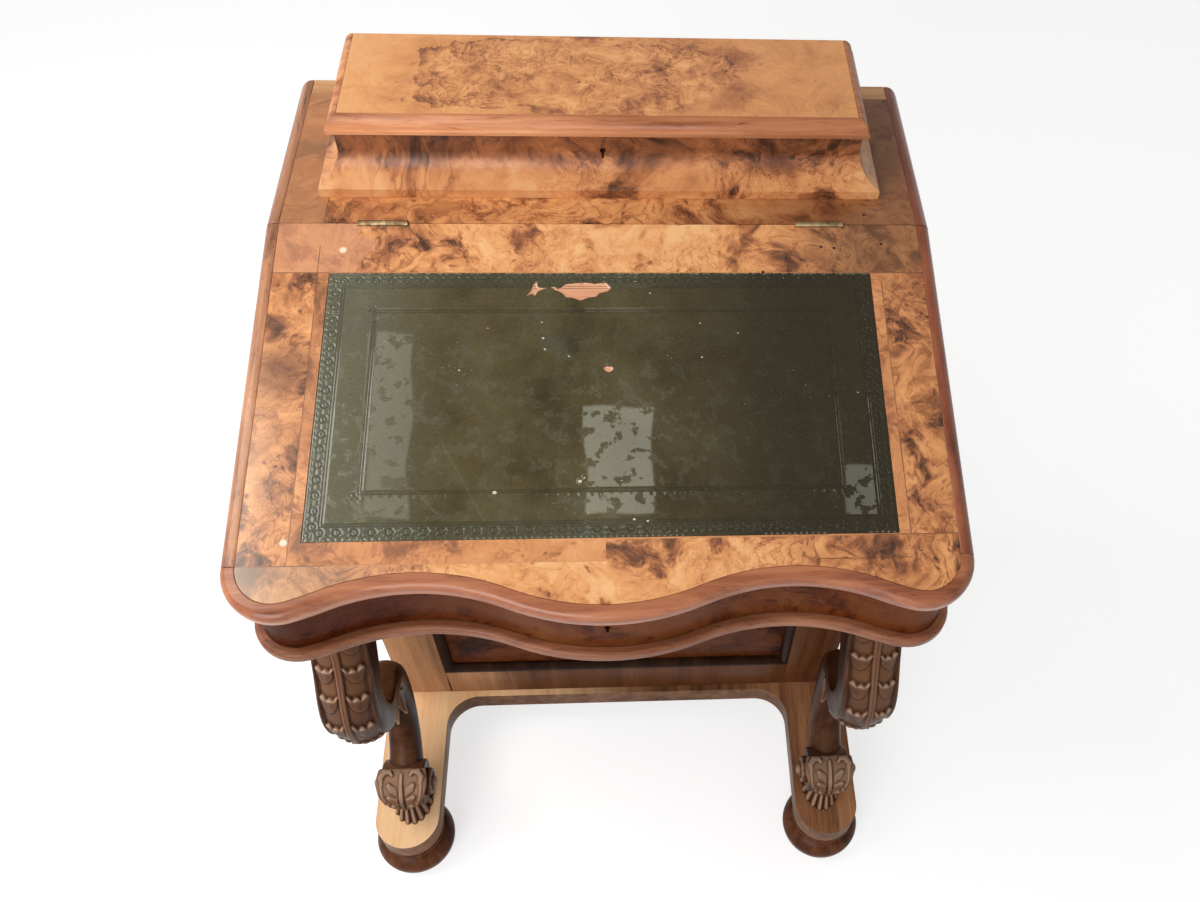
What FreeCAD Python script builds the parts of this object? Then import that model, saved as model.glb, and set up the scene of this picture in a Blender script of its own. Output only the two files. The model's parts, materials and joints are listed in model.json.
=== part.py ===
import FreeCAD, Part
import math
import os
import re
import Sketcher

# Davenport desk: a sloped desk box with a stationery box on top, carried by a drawer pedestal at the back
# and by two carved scroll brackets in front, all on a platform with four turned feet.
# Millimetres, +Z up, the front faces -Y, origin on the floor under the middle of the outline.

doc = FreeCAD.newDocument("davenport_desk")

SIZES = {
    # Overall heights and widths
    "foot_height": 55,
    "platform_thick": 28,
    "pedestal_height": 484,
    "carcase_height": 147,
    "carcase_half": 263,
    "top_depth": 193,
    "top_thick": 20,
    "slope_angle": 11.9,
    "side_thick": 16,
    "back_thick": 20,
    # Serpentine front of the carcase
    "frieze_setback": 0.9,
    "serp_overrun": 13,
    "serp_depth": 27,
    "corner_radius": 28,
    "frieze_thick": 18,
    "desk_bottom_thick": 12,
    "lip_reach": 8,
    "lip_radius": 4,
    # Writing lid
    "lid_length": 330,
    "lid_thick": 20,
    "lid_overhang": 12,
    "edge_radius": 8,
    "lid_seat": 0.3,
    "hinge_gap": 0.6,
    "joint_gap": 0.1,
    "leather_side": 44,
    "leather_start": 48,
    "leather_front": 51,
    "leather_thick": 1.5,
    # Stationery box
    "box_side": 28,
    "box_front": 32,
    "box_rear": 8,
    "box_height": 50,
    "box_wall": 10,
    "cove_depth": 19,
    "cove_foot": 8,
    "cove_rise": 24,
    "cove_radius": 28,
    "box_lid_inset": 14,
    "box_lid_thick": 14,
    "box_lid_edge": 10,
    "box_lid_step": 4,
    "box_lid_quirk": 1.5,
    "box_lid_crown": 8,
    "box_lid_seat": 0.3,
    "divider_spacing": 140,
    "divider_thick": 6,
    "divider_height": 36,
    # Pedestal
    "back_inset": 13,
    "pedestal_depth": 302,
    "frame_thick": 20,
    "stile_width": 58,
    "frame_rail": 54,
    "panel_thick": 8,
    "panel_sink": 7,
    "bead_width": 10,
    "bead_proud": 1.5,
    "bead_radius": 9,
    "bead_lip": 2,
    "pedestal_side_thick": 16,
    "dummy_thick": 8,
    # Drawers
    "drawer_rail": 14,
    "drawer_rail_depth": 20,
    "drawer_step": 6,
    "drawer_end_gap": 62,
    "drawer_front_thick": 18,
    "drawer_wall": 8,
    "drawer_floor_thick": 5,
    "drawer_floor_rise": 6,
    "drawer_side_drop": 8,
    "drawer_seat": 0.3,
    "drawer_clear": 1.2,
    "runner_width": 22,
    # Turned knobs
    "knob_spacing": 140,
    "knob_radius": 15,
    "knob_neck": 7,
    "knob_length": 22,
    "knob_base": 10,
    "knob_dome": 6,
    "spigot_radius": 4,
    "spigot_length": 6,
    "spigot_clear": 0.1,
    # Platform and feet
    "foot_inset": 20,
    "arm_reach": 157,
    "arm_half": 36,
    "arm_fillet": 37,
    "platform_lip": 8,
    "platform_back_lip": 4,
    "foot_radius": 45,
    "foot_sole": 34,
    "foot_swell": 25,
    "foot_low_radius": 30,
    "foot_high_radius": 25,
    "foot_waist": 31,
    "foot_ring": 37,
    "foot_ring_height": 8,
    "foot_ring_radius": 4.2,
    "foot_neck_height": 5,
    # Carved scroll brackets
    "bracket_inset": 25,
    "bracket_top_setback": 45,
    "bracket_knee_drop": 182,
    "bracket_knee_half": 25,
    "bracket_leg_half": 19,
    "bracket_top_half": 22,
    "bracket_toe_half": 23,
    "bracket_bulge": 13,
    "bracket_back_bulge": 2.6,
    "bracket_top_depth": 56,
    "bracket_toe_depth": 38,
    "toe_setback": 23,
    "toe_rise": 52,
    "toe_radius": 28,
    "toe_half": 27,
    "ankle_rise": 165,
    "ankle_setback": 92,
    "fan_base": 35,
    "fan_top": 27,
    "fan_flute": 3,
    "fan_setback": 2,
    # Butt hinges
    "hinge_inset": 83,
    "hinge_length": 40,
    "knuckle_radius": 2.5,
    "pin_radius": 1.2,
    "pin_clear": 0.05,
    "knuckle_clear": 0.3,
    "leaf_thick": 1.5,
    "leaf_height": 14,
    "box_leaf_height": 11,
    # Locks
    "lock_half": 28,
    "lock_depth": 12,
    "lock_height": 36,
    "lock_drop": 0.5,
    "box_lock_height": 30,
    "bolt_half": 8,
    "bolt_thick": 5,
    "bolt_height": 18,
    "bolt_clear": 0.3,
    "strike_half": 20,
    "strike_width": 16,
    "strike_thick": 2,
    "strike_slot_half": 11,
    "strike_slot_width": 10,
    "strike_pocket": 8,
    "keyhole_radius": 2.6,
    "keyhole_slot": 2.4,
    "keyhole_drop": 7,
    "lid_keyhole_drop": 20,
    "box_keyhole_drop": 16,
}

# Levels and lines that follow from the sizes above.
LINES = {
    "platform_top": "foot_height + platform_thick",
    "desk_floor": "platform_top + pedestal_height",
    "well_floor": "desk_floor + desk_bottom_thick",
    "top_z": "desk_floor + carcase_height",
    "top_under": "top_z - top_thick",
    "lid_reach": "(lid_length + lid_overhang - edge_radius) * cos(slope_angle)"
                 " - edge_radius * sin(slope_angle) + edge_radius",
    "hinge_y": "(lid_reach - top_depth) / 2",
    "back_face": "hinge_y + top_depth",
    "back_front": "back_face - back_thick",
    "carcase_front": "hinge_y - lid_length * cos(slope_angle) + frieze_setback",
    "serp_quarter": "(carcase_half + serp_overrun) / 4",
    "serp_radius": "(serp_quarter ^ 2 + serp_depth ^ 2 / 4) / serp_depth",
    "serp_sin": "serp_quarter / serp_radius",
    "serp_cos": "sqrt(1 - serp_sin ^ 2)",
    "corner_x": "carcase_half - corner_radius",
    "corner_run": "4 * serp_quarter - corner_x",
    "corner_drop": "sqrt((serp_radius - corner_radius) ^ 2 - corner_run ^ 2)",
    "side_front": "carcase_front + serp_radius - corner_drop",
    "lid_side_end": "-lid_length + serp_radius - corner_drop",
    "leather_half": "carcase_half - leather_side",
    "leather_end": "lid_length - leather_front",
    "hinge_x": "carcase_half - hinge_inset",
    "pedestal_back": "back_face - back_inset",
    "pedestal_front": "pedestal_back - pedestal_depth",
    "pedestal_middle": "(pedestal_front + pedestal_back) / 2",
    "bay_front": "pedestal_front + frame_thick",
    "bay_back": "pedestal_back - frame_thick",
    "platform_back": "pedestal_back + platform_back_lip",
    "platform_front": "pedestal_front - platform_lip",
    "arm_y": "pedestal_front - arm_reach",
    "foot_x": "carcase_half - foot_inset",
    "bracket_x": "carcase_half - bracket_inset",
    "rear_foot_y": "platform_back - arm_half",
    "side_inner": "-carcase_half + dummy_thick + pedestal_side_thick",
    "drawer_mean": "(pedestal_height - 5 * drawer_rail) / 4",
    "drawer_back": "side_inner + drawer_end_gap",
    "box_half": "carcase_half - box_side",
    "box_y": "hinge_y + box_front",
    "box_back": "back_front - box_rear",
    "box_top": "top_z + box_height",
    "box_inset": "cove_depth + box_wall",
    "box_lid_half": "box_half - box_lid_inset",
    "box_lid_front": "box_y + box_lid_inset",
    "box_lid_low": "box_top + box_lid_seat",
    "box_lid_high": "box_lid_low + box_lid_thick",
    "box_hinge_y": "box_back + knuckle_radius + knuckle_clear",
    "box_hinge_z": "box_top + box_lid_seat / 2",
    "panel_half": "carcase_half - stile_width",
    "panel_low": "platform_top + frame_rail",
    "panel_high": "desk_floor - frame_rail",
    "lock_y": "carcase_front + frieze_thick",
    "lock_top": "top_z - (hinge_y - lock_y) * tan(slope_angle)"
                " - (lid_thick + lid_seat) / cos(slope_angle) - lock_drop",
    "bolt_y": "lock_y + lock_depth / 2",
    "strike_y": "(bolt_y - hinge_y - lid_thick * sin(slope_angle)) / cos(slope_angle)",
    "box_lock_y": "box_y + box_inset",
    "box_bolt_y": "box_lock_y + lock_depth / 2",
    "box_lock_top": "box_top - lock_drop",
}


def fill_sheet(name, entries):
    """One alias to a row: the word in column A, its number or formula in column B."""
    sheet = doc.addObject("Spreadsheet::Sheet", name)
    for row, (alias, text) in enumerate(entries.items(), start=1):
        sheet.set(f"A{row}", alias)
        sheet.set(f"B{row}", text)
        sheet.setAlias(f"B{row}", alias)
    doc.recompute()
    return sheet


def bound(text):
    """The text as an expression, with each alias led by the name of its sheet."""
    def lead(match):
        word = match.group()
        if word in SIZES:
            return "Sizes." + word
        return "Lines." + word if word in LINES else word
    return re.sub(r"[a-z_][a-z_0-9]*", lead, str(text))


sizes = fill_sheet("Sizes", {alias: str(number) for alias, number in SIZES.items()})
fill_sheet("Lines", {alias: "=" + bound(text) for alias, text in LINES.items()})


def value(text):
    """The number that an expression in aliases gives now."""
    return float(sizes.evalExpression(bound(text)))


def bind(thing, **texts):
    """Binds properties to expressions: placement values are given as x, y and z."""
    for name, text in texts.items():
        path = "Placement.Base." + name if name in "xyz" else name
        thing.setExpression(path, bound(text))
    return thing


parts = []


def finished(thing, name):
    """Marks a document object as a sub-part with its own name."""
    thing.Label = name
    parts.append(thing)
    return thing


# Ways of making a solid


def board(name, x, y, z):
    """A rectangular board between two expressions on each axis."""
    box = doc.addObject("Part::Box", name)
    for (low, high), length, start in zip((x, y, z), ("Length", "Width", "Height"), "xyz"):
        bind(box, **{length: f"({high}) - ({low})", start: low})
    return box


def tilted_board(name, x, y, z):
    """A board in the lid's frame: y runs along the slope from the hinge line, z is square to the lid."""
    return lid_placed(board(name + "_flat", x, y, z), name)


def lid_frame():
    turn = FreeCAD.Rotation(FreeCAD.Vector(1, 0, 0), value("slope_angle"))
    return FreeCAD.Placement(FreeCAD.Vector(0, value("hinge_y"), value("top_z")), turn)


def lid_placed(thing, name):
    """Carries a solid drawn flat about the hinge line to the lid's slope."""
    holder = doc.addObject("Part::Compound", name)
    holder.Links = [thing]
    holder.Placement = lid_frame()
    return holder


def arc_between(start, stop, radius, bend):
    """The shorter arc between two points, turning left where bend is 1 and right where it is -1."""
    if bend < 0:
        start, stop = stop, start
    chord = stop - start
    rise = math.sqrt(radius ** 2 - chord.Length ** 2 / 4)
    left = FreeCAD.Vector(-chord.y, chord.x, 0).normalize()
    centre = (start + stop) / 2 + left * rise
    first, last = (math.atan2(p.y - centre.y, p.x - centre.x) for p in (start, stop))
    return Part.ArcOfCircle(Part.Circle(centre, FreeCAD.Vector(0, 0, 1), radius), first, last)


def draw_outline(sketch, points, arcs):
    """A closed outline through points given as expressions; arcs maps a side to its radius and bend."""
    corners = [FreeCAD.Vector(value(x), value(y), 0) for x, y in points]
    ends = []
    for side, start in enumerate(corners):
        stop = corners[(side + 1) % len(corners)]
        radius, bend = arcs.get(side, (None, 1))
        if radius:
            sketch.addGeometry(arc_between(start, stop, value(radius), bend), False)
        else:
            sketch.addGeometry(Part.LineSegment(start, stop), False)
        ends.append((1, 2) if bend > 0 else (2, 1))
    ties = []
    texts = []
    for side in range(len(points)):
        following = (side + 1) % len(points)
        ties.append(Sketcher.Constraint("Coincident", side, ends[side][1], following, ends[following][0]))
        texts.append(None)
    for side, point in enumerate(points):
        for kind, text in zip(("DistanceX", "DistanceY"), point):
            ties.append(Sketcher.Constraint(kind, -1, 1, side, ends[side][0], value(text)))
            texts.append(text)
    for side, (radius, bend) in arcs.items():
        ties.append(Sketcher.Constraint("Radius", side, value(radius)))
        texts.append(radius)
    sketch.addConstraint(ties)
    for index, text in enumerate(texts):
        if text is not None:
            sketch.setExpression(f"Constraints[{index}]", bound(text))


def sketch_on(body, role, points, arcs, level="0"):
    """A sketch on one of the body's origin planes, lifted along the plane's normal."""
    sketch = body.newObject("Sketcher::SketchObject", body.Name + "_outline")
    plane = [feature for feature in body.Origin.OriginFeatures if feature.Role == role][0]
    sketch.AttachmentSupport = [(plane, "")]
    sketch.MapMode = "FlatFace"
    draw_outline(sketch, points, arcs or {})
    sketch.setExpression("AttachmentOffset.Base.z", bound(level))
    return sketch


def prism(name, role, points, low, high, arcs=None):
    """A body padded from an outline. The XZ plane's normal is -Y, so there low and high are turned about."""
    body = doc.addObject("PartDesign::Body", name)
    level = f"-({high})" if role == "XZ_Plane" else low
    sketch = sketch_on(body, role, points, arcs, level)
    pad = body.newObject("PartDesign::Pad", name + "_pad")
    pad.Profile = sketch
    pad.setExpression("Length", bound(f"({high}) - ({low})"))
    doc.recompute()
    return body


def turned(name, points, arcs=None):
    """A body turned about its own Z axis from a half section given as radius and height."""
    body = doc.addObject("PartDesign::Body", name)
    sketch = sketch_on(body, "XZ_Plane", points, arcs)
    spin = body.newObject("PartDesign::Revolution", name + "_turning")
    spin.Profile = sketch
    spin.ReferenceAxis = (sketch, ["V_Axis"])
    spin.Angle = 360
    doc.recompute()
    return body


def round_edges(body, radius, wanted):
    """Rounds the edges of a body that the test picks out."""
    tip = body.Tip
    names = [f"Edge{n}" for n, edge in enumerate(tip.Shape.Edges, start=1) if wanted(edge)]
    fillet = body.newObject("PartDesign::Fillet", body.Name + "_rounding")
    fillet.Base = (tip, names)
    fillet.setExpression("Radius", bound(radius))
    doc.recompute()
    return body


def group(name, members):
    """Several solids kept apart under one name."""
    compound = doc.addObject("Part::Compound", name)
    compound.Links = members
    return compound


def cut(name, base, tools):
    """The base with every tool taken out of it."""
    result = doc.addObject("Part::Cut", name)
    result.Base = base
    result.Tool = group(name + "_tools", tools) if len(tools) > 1 else tools[0]
    return result


def common(name, first, second):
    """What two prisms share: a moulding's section run along its mitred plan."""
    result = doc.addObject("Part::Common", name)
    result.Base = first
    result.Tool = second
    return result


def mirrored(name, source):
    """The same piece for the other side of the desk."""
    result = doc.addObject("Part::Mirroring", name)
    result.Source = source
    result.Normal = (1, 0, 0)
    return result


def symmetric(half):
    return f"-({half})", half


# Serpentine front


def serpentine(offset, front):
    """The front line from right to left: points and arcs, moved out by an offset from the frieze's face.

    A bow in the middle, a hollow each side of it, and a quarter bow that runs into the rounded corner.
    """
    d = f"({offset})"
    middle = f"({front}) + serp_depth / 2 - {d} * serp_cos"
    share = f"(serp_radius + {d}) / (serp_radius - corner_radius)"
    turn_x = f"4 * serp_quarter - corner_run * {share}"
    turn_y = f"({front}) + serp_radius - corner_drop * {share}"
    side_y = f"({front}) + serp_radius - corner_drop"
    right = [
        (f"carcase_half + {d}", side_y),
        (turn_x, turn_y),
        (f"3 * serp_quarter - {d} * serp_sin", middle),
        (f"serp_quarter + {d} * serp_sin", middle),
    ]
    left = [(f"-({x})", y) for x, y in reversed(right)]
    bow = (f"serp_radius + {d}", -1)
    hollow = (f"serp_radius - {d}", 1)
    corner = (f"corner_radius + {d}", -1)
    return right + left, [corner, bow, hollow, bow, hollow, bow, corner]


def band(inner, outer, front):
    """The closed outline between two offsets of the serpentine."""
    outside, outside_arcs = serpentine(outer, front)
    inside, inside_arcs = serpentine(inner, front)
    arcs = dict(enumerate(outside_arcs))
    back = [(radius, -bend) for radius, bend in reversed(inside_arcs)]
    arcs.update({len(outside) + side: arc for side, arc in enumerate(back)})
    return outside + list(reversed(inside)), arcs


def serpentine_plan(front, back):
    """A whole board's plan: serpentine in front, straight sides and back."""
    line, arcs = serpentine("0", front)
    return line + [("-carcase_half", back), ("carcase_half", back)], dict(enumerate(arcs))


def outer_edges(outer, front):
    """A test for the long outside edges of a serpentine moulding."""
    points, arcs = serpentine(outer, front)
    corners = [FreeCAD.Vector(value(x), value(y), 0) for x, y in points]
    line = [arc_between(corners[n], corners[n + 1], value(radius), bend).toShape()
            for n, (radius, bend) in enumerate(arcs)]

    def wanted(edge):
        middle = edge.valueAt((edge.FirstParameter + edge.LastParameter) / 2)
        level = abs(edge.Vertexes[0].Z - edge.Vertexes[-1].Z) < 1e-6
        flat = Part.Vertex(middle.x, middle.y, 0)
        return level and min(piece.distToShape(flat)[0] for piece in line) < 0.01
    return wanted


def edge_section(inner, outer, low, high, radius):
    """Half-round section of a side moulding, as points and arcs in the XZ plane."""
    points = [
        (inner, low),
        (f"({outer}) - {radius}", low),
        (outer, f"({low}) + {radius}"),
        (outer, f"({high}) - {radius}"),
        (f"({outer}) - {radius}", high),
        (inner, high),
    ]
    return points, {1: (radius, 1), 3: (radius, 1)}


def lid_under(y):
    """Height of the line just under the lid at a place along Y."""
    return f"(top_z - (hinge_y - ({y})) * tan(slope_angle) - (lid_thick + lid_seat) / cos(slope_angle))"


# Platform and feet


def make_platform():
    right = [
        ("foot_x + arm_half", "rear_foot_y"),
        ("foot_x + arm_half", "arm_y"),
        ("foot_x", "arm_y - arm_half"),
        ("foot_x - arm_half", "arm_y"),
        ("foot_x - arm_half", "platform_front - arm_fillet"),
        ("foot_x - arm_half - arm_fillet", "platform_front"),
    ]
    left = [(f"-({x})", y) for x, y in reversed(right)]
    points = [("foot_x", "platform_back")] + right + left + [("-foot_x", "platform_back")]
    end, hollow = ("arm_half", -1), ("arm_fillet", 1)
    arcs = {0: end, 2: end, 3: end, 5: hollow, 7: hollow, 9: end, 10: end, 12: end}
    finished(prism("base_platform", "XY_Plane", points, "foot_height", "platform_top", arcs), "base_platform")


def make_feet():
    """Bun feet with a ring and a short neck under the platform."""
    ring_low = "foot_height - foot_neck_height - foot_ring_height"
    points = [
        ("0", "0"),
        ("foot_sole", "0"),
        ("foot_radius", "foot_swell"),
        ("foot_waist", ring_low),
        ("foot_ring - foot_ring_height / 2", ring_low),
        ("foot_ring - foot_ring_height / 2", "foot_height - foot_neck_height"),
        ("foot_waist", "foot_height - foot_neck_height"),
        ("foot_waist", "foot_height"),
        ("0", "foot_height"),
    ]
    arcs = {1: ("foot_low_radius", 1), 2: ("foot_high_radius", 1), 4: ("foot_ring_radius", 1)}
    places = {
        "foot_front_left": ("-foot_x", "arm_y"),
        "foot_front_right": ("foot_x", "arm_y"),
        "foot_rear_left": ("-foot_x", "rear_foot_y"),
        "foot_rear_right": ("foot_x", "rear_foot_y"),
    }
    for name, (x, y) in places.items():
        finished(bind(turned(name, points, arcs), x=x, y=y), name)


# Carved scroll brackets

SCROLL_SECTIONS = 20
FAN_FLUTES = 9
FLUTE_SPACING = 22


def bracket_stations():
    """Points down the middle of the scroll as y and z, with half the timber's depth and width at each."""
    def point(y, z, half):
        return FreeCAD.Vector(value(y), value(z), value(half))

    def between(first, last, along_y, along_z, along_width):
        """A point whose y, z and width are each a share of the way from one point to another."""
        step = last - first
        return first + FreeCAD.Vector(step.x * along_y, step.y * along_z, step.z * along_width)

    top = point("arm_y + bracket_top_setback", "desk_floor", "bracket_top_half")
    knee = point("arm_y", "desk_floor - bracket_knee_drop", "bracket_knee_half")
    ankle = point("arm_y + ankle_setback", "platform_top + ankle_rise", "bracket_leg_half")
    toe = point("arm_y + toe_setback", "platform_top + toe_rise", "bracket_toe_half")
    line = [
        top,
        between(top, knee, 0.22, 0.37, 0.33),
        between(top, knee, 0.73, 0.72, 0.67),
        knee,
        between(knee, ankle, 0.17, 0.28, 0),
        between(knee, ankle, 0.55, 0.46, 0.33),
        between(knee, ankle, 0.87, 0.68, 0.67),
        ankle,
        between(ankle, toe, 0.13, 0.47, 0),
        between(ankle, toe, 0.55, 0.85, 0.5),
        between(ankle, toe, 0.94, 1, 1),
    ]
    deep, shallow = value("bracket_top_depth / 2"), value("bracket_toe_depth / 2")
    thinning = (deep - shallow) / (len(line) - 1)
    return [(spot.x, spot.y, deep - count * thinning, spot.z) for count, spot in enumerate(line)]


def bracket_section(centre, normal, half_depth, half_width, bulge):
    """A closed section square to the scroll: a full front, flat cheeks and a slightly round back."""
    across = FreeCAD.Vector(1, 0, 0)
    front_left, front_right, back_right, back_left = (
        centre + across * (side * half_width) + normal * (face * half_depth)
        for side, face in ((-1, 1), (1, 1), (1, -1), (-1, -1)))
    full = centre + normal * (half_depth + bulge)
    back = centre - normal * (half_depth + value("bracket_back_bulge"))
    return Part.Wire([
        Part.Arc(front_left, full, front_right).toShape(),
        Part.LineSegment(front_right, back_right).toShape(),
        Part.Arc(back_right, back, back_left).toShape(),
        Part.LineSegment(back_left, front_left).toShape(),
    ])


def fluted_fan(x, y, low, height):
    """The shell under the toe: a short cone with flutes round its front."""
    base, top = value("fan_base"), value("fan_top")
    fan = Part.makeCone(base, top, height, FreeCAD.Vector(x, y, low))
    flutes = []
    for count in range(FAN_FLUTES):
        angle = math.radians(-90 + FLUTE_SPACING * (count - (FAN_FLUTES - 1) / 2))
        out = FreeCAD.Vector(math.cos(angle), math.sin(angle), 0)
        foot = FreeCAD.Vector(x, y, low) + out * base
        head = FreeCAD.Vector(x, y, low + height) + out * top
        run = head - foot
        flutes.append(Part.makeCylinder(value("fan_flute"), run.Length * 2, foot - run / 2, run))
    return fan.cut(flutes)


def scroll_sections():
    """Sections at even steps down the scroll, on a smooth line through its stations."""
    stations = bracket_stations()
    x = value("bracket_x")
    points = [FreeCAD.Vector(x, y, z) for y, z, depth, width in stations]
    steps = [0.0]
    for here, following in zip(points, points[1:]):
        steps.append(steps[-1] + (following - here).Length)
    spine = Part.BSplineCurve()
    spine.interpolate(Points=points, Parameters=steps, InitialTangent=FreeCAD.Vector(0, 0, -1),
                      FinalTangent=FreeCAD.Vector(0, -1, -0.3), Scale=False)
    girth = Part.BSplineCurve()
    girths = [FreeCAD.Vector(depth, width, step) for (y, z, depth, width), step in zip(stations, steps)]
    girth.interpolate(Points=girths, Parameters=steps)
    sections = []
    for count in range(SCROLL_SECTIONS + 1):
        at = steps[-1] * count / SCROLL_SECTIONS
        along = spine.tangent(at)[0]
        size = girth.value(at)
        bulge = value("bracket_bulge") * size.y / value("bracket_knee_half")
        normal = FreeCAD.Vector(0, along.z, -along.y)
        sections.append(bracket_section(spine.value(at), normal, size.x, size.y, bulge))
    return sections


def make_brackets():
    """Right bracket: the scroll lofted through its sections, then the rolled toe and the fan under it."""
    scroll = Part.makeLoft(scroll_sections(), True, False)
    x, half = value("bracket_x"), value("toe_half")
    toe_y, toe_z = value("arm_y + toe_setback"), value("platform_top + toe_rise")
    knuckle = Part.makeCylinder(value("toe_radius"), 2 * half, FreeCAD.Vector(x - half, toe_y, toe_z),
                                FreeCAD.Vector(1, 0, 0))
    fan = fluted_fan(x, toe_y + value("fan_setback"), value("platform_top"), value("toe_rise"))
    feature = doc.addObject("Part::Feature", "scroll_bracket_right")
    feature.Shape = scroll.fuse([knuckle, fan])
    finished(feature, "scroll_bracket_right")
    finished(mirrored("scroll_bracket_left", feature), "scroll_bracket_left")


# Pedestal


def frame_boards(name, y):
    """Two stiles and two rails round a panel."""
    height = ("platform_top", "desk_floor")
    return group(name, [
        board(name + "_left", ("-carcase_half", "-panel_half"), y, height),
        board(name + "_right", ("panel_half", "carcase_half"), y, height),
        board(name + "_low", symmetric("panel_half"), y, ("platform_top", "panel_low")),
        board(name + "_high", symmetric("panel_half"), y, ("panel_high", "desk_floor")),
    ])


def panel_bead(name, face, out):
    """Four mitred beads round the sunk panel: face is the panel's face, out the way the bead stands."""
    front = f"{face} + {out} * (panel_sink + bead_proud)"
    low, high = (face, front) if out > 0 else (front, face)
    run, lip = "bead_width", "bead_lip"

    def section(edge, inward):
        """The bead's section: a flat seat, a low inner edge, a hollow and a raised outer edge."""
        return [
            (edge, face),
            (f"({edge}) + ({inward}) * {run}", face),
            (f"({edge}) + ({inward}) * {run}", f"{face} + {out} * {lip}"),
            (f"({edge}) + ({inward}) * {lip}", front),
            (edge, front),
        ]

    corners = {
        "left": (("-panel_half", "panel_low"), ("-panel_half", "panel_high"), 1, 0),
        "right": (("panel_half", "panel_low"), ("panel_half", "panel_high"), -1, 0),
        "low": (("-panel_half", "panel_low"), ("panel_half", "panel_low"), 0, 1),
        "high": (("-panel_half", "panel_high"), ("panel_half", "panel_high"), 0, -1),
    }
    beads = []
    for side, (start, stop, in_x, in_z) in corners.items():
        plan = [
            start,
            stop,
            (f"{stop[0]} + {run} * ({in_x or -1})", f"{stop[1]} + {run} * ({in_z or -1})"),
            (f"{start[0]} + {run} * ({in_x or 1})", f"{start[1]} + {run} * ({in_z or 1})"),
        ]
        trim = prism(f"{name}_{side}_plan", "XZ_Plane", plan, low, high)
        if in_x:
            sides = section(start[0], in_x)
            strip = prism(f"{name}_{side}_strip", "XY_Plane", sides, "panel_low", "panel_high",
                          {2: ("bead_radius", in_x * out)})
        else:
            sides = [(y, z) for z, y in section(start[1], in_z)]
            strip = prism(f"{name}_{side}_strip", "YZ_Plane", sides, "-panel_half", "panel_half",
                          {2: ("bead_radius", -in_z * out)})
        beads.append(common(f"{name}_{side}", strip, trim))
    return group(name, beads)


def make_pedestal():
    front = ("pedestal_front", "bay_front")
    back = ("bay_back", "pedestal_back")
    finished(frame_boards("pedestal_front_frame", front), "pedestal_front_frame")
    finished(frame_boards("pedestal_back_frame", back), "pedestal_back_frame")
    front_face = "pedestal_front + panel_sink"
    back_face = "pedestal_back - panel_sink"
    width, height = symmetric("panel_half"), ("panel_low", "panel_high")
    front_panel = board("pedestal_front_panel", width, (front_face, f"{front_face} + panel_thick"), height)
    back_panel = board("pedestal_back_panel", width, (f"{back_face} - panel_thick", back_face), height)
    finished(front_panel, "pedestal_front_panel")
    finished(back_panel, "pedestal_back_panel")
    finished(panel_bead("pedestal_front_moulding", front_face, -1), "pedestal_front_moulding")
    finished(panel_bead("pedestal_back_moulding", back_face, 1), "pedestal_back_moulding")
    bay = ("bay_front", "bay_back")
    side = board("pedestal_left_side", ("-carcase_half + dummy_thick", "side_inner"), bay,
                 ("platform_top", "desk_floor"))
    finished(side, "pedestal_left_side")


# Drawers


def drawer_height(number):
    return f"(drawer_mean + ({number} - 2.5) * drawer_step)"


def drawer_low(number):
    """Bottom of a drawer opening: drawers are numbered from the top, each a step deeper than the last."""
    steps = sum(n - 2.5 for n in range(1, number + 1))
    return f"(desk_floor - {number} * drawer_rail - {number} * drawer_mean - {steps} * drawer_step)"


def knob(name):
    """A turned wooden knob along +X from the drawer's face, with a spigot into the front."""
    points = [
        ("0", "-spigot_length"),
        ("spigot_radius", "-spigot_length"),
        ("spigot_radius", "0"),
        ("knob_base", "0"),
        ("knob_neck", "knob_length / 3"),
        ("knob_radius", "knob_length - knob_dome"),
        ("0", "knob_length"),
    ]
    dome = "(knob_radius ^ 2 + knob_dome ^ 2) / (2 * knob_dome)"
    arcs = {3: ("knob_length / 2", -1), 4: ("knob_length", -1), 5: (dome, 1)}
    return turned(name, points, arcs)


def knob_places():
    return "pedestal_middle - knob_spacing / 2", "pedestal_middle + knob_spacing / 2"


def knob_pair(name, side, middle):
    """Two knobs on the face at one side of the pedestal, at a height."""
    knobs = []
    for count, y in enumerate(knob_places(), start=1):
        one = knob(f"{name}_{count}")
        turn = FreeCAD.Rotation(FreeCAD.Vector(0, 1, 0), 90 * side)
        one.Placement.Rotation = turn
        knobs.append(bind(one, x=f"{side} * carcase_half", y=y, z=middle))
    return knobs


def spigot_holes(name, side, middle, depth):
    """Holes for the knobs' spigots."""
    holes = []
    for count, y in enumerate(knob_places(), start=1):
        hole = doc.addObject("Part::Cylinder", f"{name}_hole_{count}")
        turn = FreeCAD.Rotation(FreeCAD.Vector(0, 1, 0), -90 * side)
        hole.Placement.Rotation = turn
        bind(hole, Radius="spigot_radius + spigot_clear", Height=depth)
        holes.append(bind(hole, x=f"{side} * carcase_half", y=y, z=middle))
    return holes


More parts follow.
